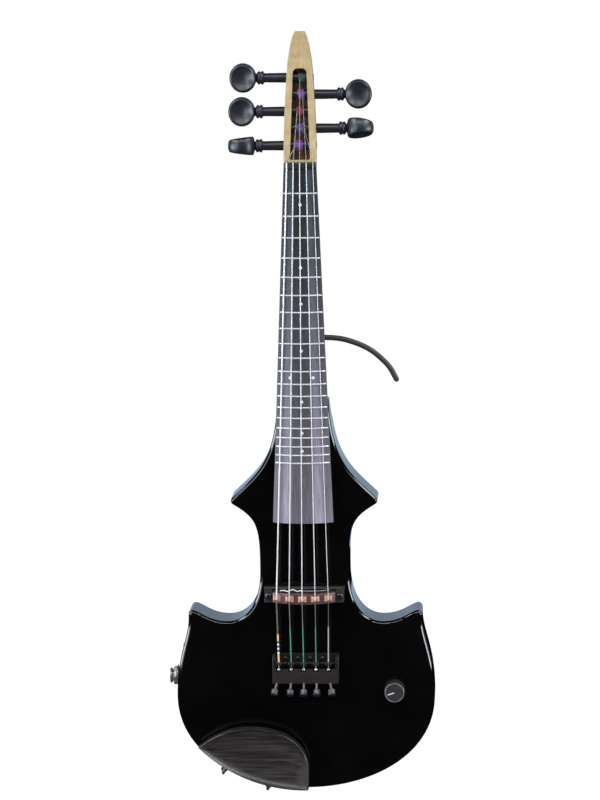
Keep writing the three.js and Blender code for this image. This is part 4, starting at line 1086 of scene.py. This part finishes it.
def make_side_plate():
    plate = soften(rim_plate("side_cover"), 0.25)
    dress(plate, CHROME, replaces="side_plate", slot="black_metal")
    turn = Quaternion((0, 1, 0), RIM_PLATE["tilt"])
    for i, side in enumerate((-1, 1), 1):
        outward = turn @ Vector((-1, 0, 0))
        centre = at(RIM_PLATE["x"], THICKNESS / 2 + side * 6.4, RIM_PLATE["z"]) + outward * 0.0006
        cross_screw(f"side_fixing_{i}", centre, centre - outward, 0.5, 1.2, 0.4, 1.0, SCREW_BLACK)


# ---------------- chinrest and clamp

def chinrest_outline():
    points = [(-82.4, -116.2)]
    points += bezier(points[-1], (-71, -106.6), (-58, -101), (-43, -101), 20)
    points += bezier(points[-1], (-17.5, -101), (2.6, -112), (2.6, -135), 24)
    points += [(2.5, -140), (2.4, -145), (2.2, -149), (1.6, -149.7)]
    points += bezier(points[-1], (-31, -150), (-61, -137.5), (-82.4, -116.2), 28)[:-1]
    return points[::-1]


def make_chinrest():
    outline = chinrest_outline()
    centre = Vector((-35, -126.5))
    levels = [(0.10, 45.2), (0.04, 45.4), (0.012, 46.3), (0, 47.8), (0, 53.5), (0.002, 55.6), (0.008, 56.3),
              (0.018, 56.5), (0.035, 56.1), (0.07, 55.2), (0.14, 54), (0.25, 52.9), (0.4, 52), (0.6, 51.4),
              (0.82, 51.1)]
    rings = []
    for share, height in levels:
        rings.append([at(mix(x, centre.x, share), height, mix(z, centre.y, share)) for x, z in outline])
    dress(shape("chin_cup", skin(rings)), ROSEWOOD, replaces="chinrest", slot="rosewood", sharp=50)
    block = rounded_rectangle(-54, -34, -139.5, -128, 3)
    dress(shape("chin_foot", rounded_plate(block, 39.6, 46, 0.4, 2)), ROSEWOOD, slot="rosewood")
    dress(shape("chin_cork", prism(inset(block, 0.3), "front", THICKNESS + 0.1, 39.6)), CORK)


def make_clamp():
    rod, level = 1.2, 43.2
    for i, ((px, pz), (rx, rz)) in enumerate(zip(CLAMP_POSTS, CLAMP_ROOTS), 1):
        near = [mix(rx, px, 0.8), mix(rz, pz, 0.8)]
        path = [at(rx, level, rz), at(mix(rx, px, 0.5), level, mix(rz, pz, 0.5))]
        bend = [at(near[0], level, near[1]), at(mix(near[0], px, 0.75), level - 0.6, mix(near[1], pz, 0.75)),
                at(px, level - 2.8, pz), at(px, level - 6, pz)]
        leg = tube([*path, *curve(bend, 6), at(px, 20.5, pz)], rod, 16, True)
        piece = shape(f"clamp_leg_{i}", leg)
        dress(piece, CLAMP_METAL, slot="steel", weighted=False)
        tube_profile = [(1.5, 0), (2.4, 0), (2.7, 0.3), (2.7, 16.7), (2.4, 17), (1.5, 17)]
        barrel = shape(f"clamp_nut_{i}", hoop(tube_profile, at(px, 27.5, pz), at(px, 0, pz), 32))
        for k, height in enumerate((14, 19, 24)):
            side = Vector((0.004, 0, 0)) if k % 2 else Vector((0, 0, 0.004))
            carve(barrel, drill(at(px, height, pz) - side, at(px, height, pz) + side, 0.75, 16))
        body = f"clamp_barrel_{i}"
        dress(barrel, CLAMP_METAL, body, replaces=body, slot="steel")
        thread = [at(px, h, pz) for h in (-3, 17.5)]
        dress(shape(f"clamp_thread_{i}", tube(thread, rod, 16)), CLAMP_METAL, "clamp_foot", slot="steel")
    (ax, az), (bx, bz) = CLAMP_ROOTS
    cross = shape("clamp_cross_rod", tube([at(ax, level, az), at(bx, level, bz)], rod, 16, True))
    dress(cross, CLAMP_METAL, replaces="clamp_bracket", slot="steel", weighted=False)
    foot = [(-67.5, -142.3)]
    foot += bezier(foot[-1], (-56, -150.3), (-43, -154.4), (-27, -155.2), 14)
    foot.append((-26, -140))
    foot += bezier(foot[-1], (-38, -140), (-51, -135), (-60, -128), 14)
    plate = soften(shape("clamp_plate", prism(foot, "front", -4.5, -1.6)), 0.6, 3)
    dress(plate, CLAMP_METAL, "clamp_foot", replaces="clamp_foot", slot="steel")
    dress(shape("clamp_cork", prism(inset(foot, 0.4), "front", -1.6, -0.3)), CORK, "clamp_foot")


# ---------------- curved arm and hidden parts

def make_arm():
    level, z = 25, ARM_LEVEL
    places = ((-6, 0), (23, 0), (39, -3.5), (52.7, -10.2), (64.9, -21.3), (71.2, -32))
    route = [at(x, level, z + drop) for x, drop in places]
    dress(shape("arm_sleeve", tube(curve(route, 8), 2.1, 20, True)), RUBBER, replaces="support_arm",
          slot="rubber_sleeve", weighted=False)
    grip = soften(shape("arm_clamp", box(-10, 10, 20.5, 29, z - 7, z + 7)), 1.2, 4)
    carve(grip, drill(at(-9, level, z), at(12, level, z), 2.3))
    dress(grip, SATIN_PLASTIC, replaces="arm_bracket", slot="black_plastic")


def finish_cad_nodes():
    """The CAD pieces that stay: small parts behind the cover, the tuners' pin and the control's shaft."""
    finishes = {"lever_pin": SCREW_BLACK, "volume_pot": STEEL, "volume_shaft": STEEL, "battery": BATTERY,
                "preamp_board": CIRCUIT}
    for node, material in finishes.items():
        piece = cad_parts[node]
        piece.data.materials.clear()
        piece.data.materials.append(material)


# ---------------- floor, light and camera

def make_stage():
    corners = ((-60, -60), (60, -60), (60, 60), (-60, 60))
    floor = shape("floor", skin([[Vector((x, y, z)) for x, y in corners] for z in (-0.62, -0.6)]))
    white = surface("floor_white", (0.94, 0.94, 0.94), (0.95, 0.95, 0.95), 3, (0.8, 0.9), specular=0.0,
                    strength=0)
    floor.data.materials.append(white)
    floor.visible_glossy = False


def area_light(name, place, target, size, radiance, color=(1, 1, 1), gloss_only=False):
    data = bpy.data.lights.new(name, "AREA")
    data.shape = "RECTANGLE"
    data.size, data.size_y = size
    data.energy = radiance * pi * size[0] * size[1]
    data.color = color
    lamp = bpy.data.objects.new(name, data)
    lamp.location = place
    lamp.rotation_mode = "QUATERNION"
    lamp.rotation_quaternion = (Vector(target) - Vector(place)).to_track_quat("-Z", "Y")
    lamp.visible_camera = False
    lamp.visible_diffuse = not gloss_only
    bpy.context.scene.collection.objects.link(lamp)


def make_light():
    """An even white room that gloss does not mirror, with soft panels for the gloss to show."""
    world = bpy.data.worlds.new("studio")
    bpy.context.scene.world = world
    world.use_nodes = True
    background = world.node_tree.nodes["Background"]
    background.inputs["Color"].default_value = (1, 1, 1, 1)
    background.inputs["Strength"].default_value = 1.07
    world.cycles_visibility.glossy = False
    area_light("back_panel", (0.1, 1.6, 0.64), (0.1, 0, 0.64), (2.8, 1.8), 0.7, (0.60, 0.76, 1))
    area_light("front_strip", (0, -1.2, 1.5), (0, 0, 0.1), (1.6, 0.08), 38)
    area_light("left_box", (-1.5, -1.6, 0.6), (0, 0, 0.2), (0.9, 1.3), 2.2, (0.85, 0.92, 1))
    area_light("right_box", (1.5, -1.2, 1.2), (0, 0, 0.2), (0.6, 0.6), 4, (0.85, 0.92, 1))
    area_light("left_gloss", (-1.5, -1.5, 0.5), (0, 0, 0.3), (0.5, 1.6), 6, (0.80, 0.90, 1), True)
    for i, turn in enumerate((-90, -45, 45, 90)):
        around = Vector((sin(radians(turn)), 0, cos(radians(turn))))
        place = Vector((0, -0.35, 0.14)) + around * 2
        area_light(f"edge_panel_{i + 1}", place, (0, 0, 0.14), EDGE_PANEL, 14, (0.88, 0.94, 1), True)
    bpy.context.scene.view_settings.view_transform = "Standard"


def make_camera():
    data = bpy.data.cameras.new("camera")
    data.sensor_fit = "AUTO"
    data.angle = radians(13.4243)
    data.clip_start, data.clip_end = 0.1, 100
    camera = bpy.data.objects.new("camera", data)
    camera.location = (0.1305, -2.6, 0.4957)
    camera.rotation_mode = "QUATERNION"
    look = Vector((-0.05121, 0.98976, -0.13324)).to_track_quat("-Z", "Y")
    camera.rotation_quaternion = look @ Quaternion((0, 0, 1), -0.0107)
    bpy.context.scene.collection.objects.link(camera)
    bpy.context.scene.camera = camera


make_camera()
make_light()
make_stage()
make_body()
make_back()
make_neck()
make_board()
make_frets()
make_dots()
make_nut()
for number, place in enumerate(PEGS, 1):
    make_peg(number, *place)
for number in range(5):
    make_string(number)
    make_saddle(number)
    make_lever(number)
    make_tuner(number)
make_bridge()
make_bar()
make_leads()
make_tailpiece()
make_knob()
make_jack()
make_side_plate()
make_chinrest()
make_clamp()
make_arm()
finish_cad_nodes()
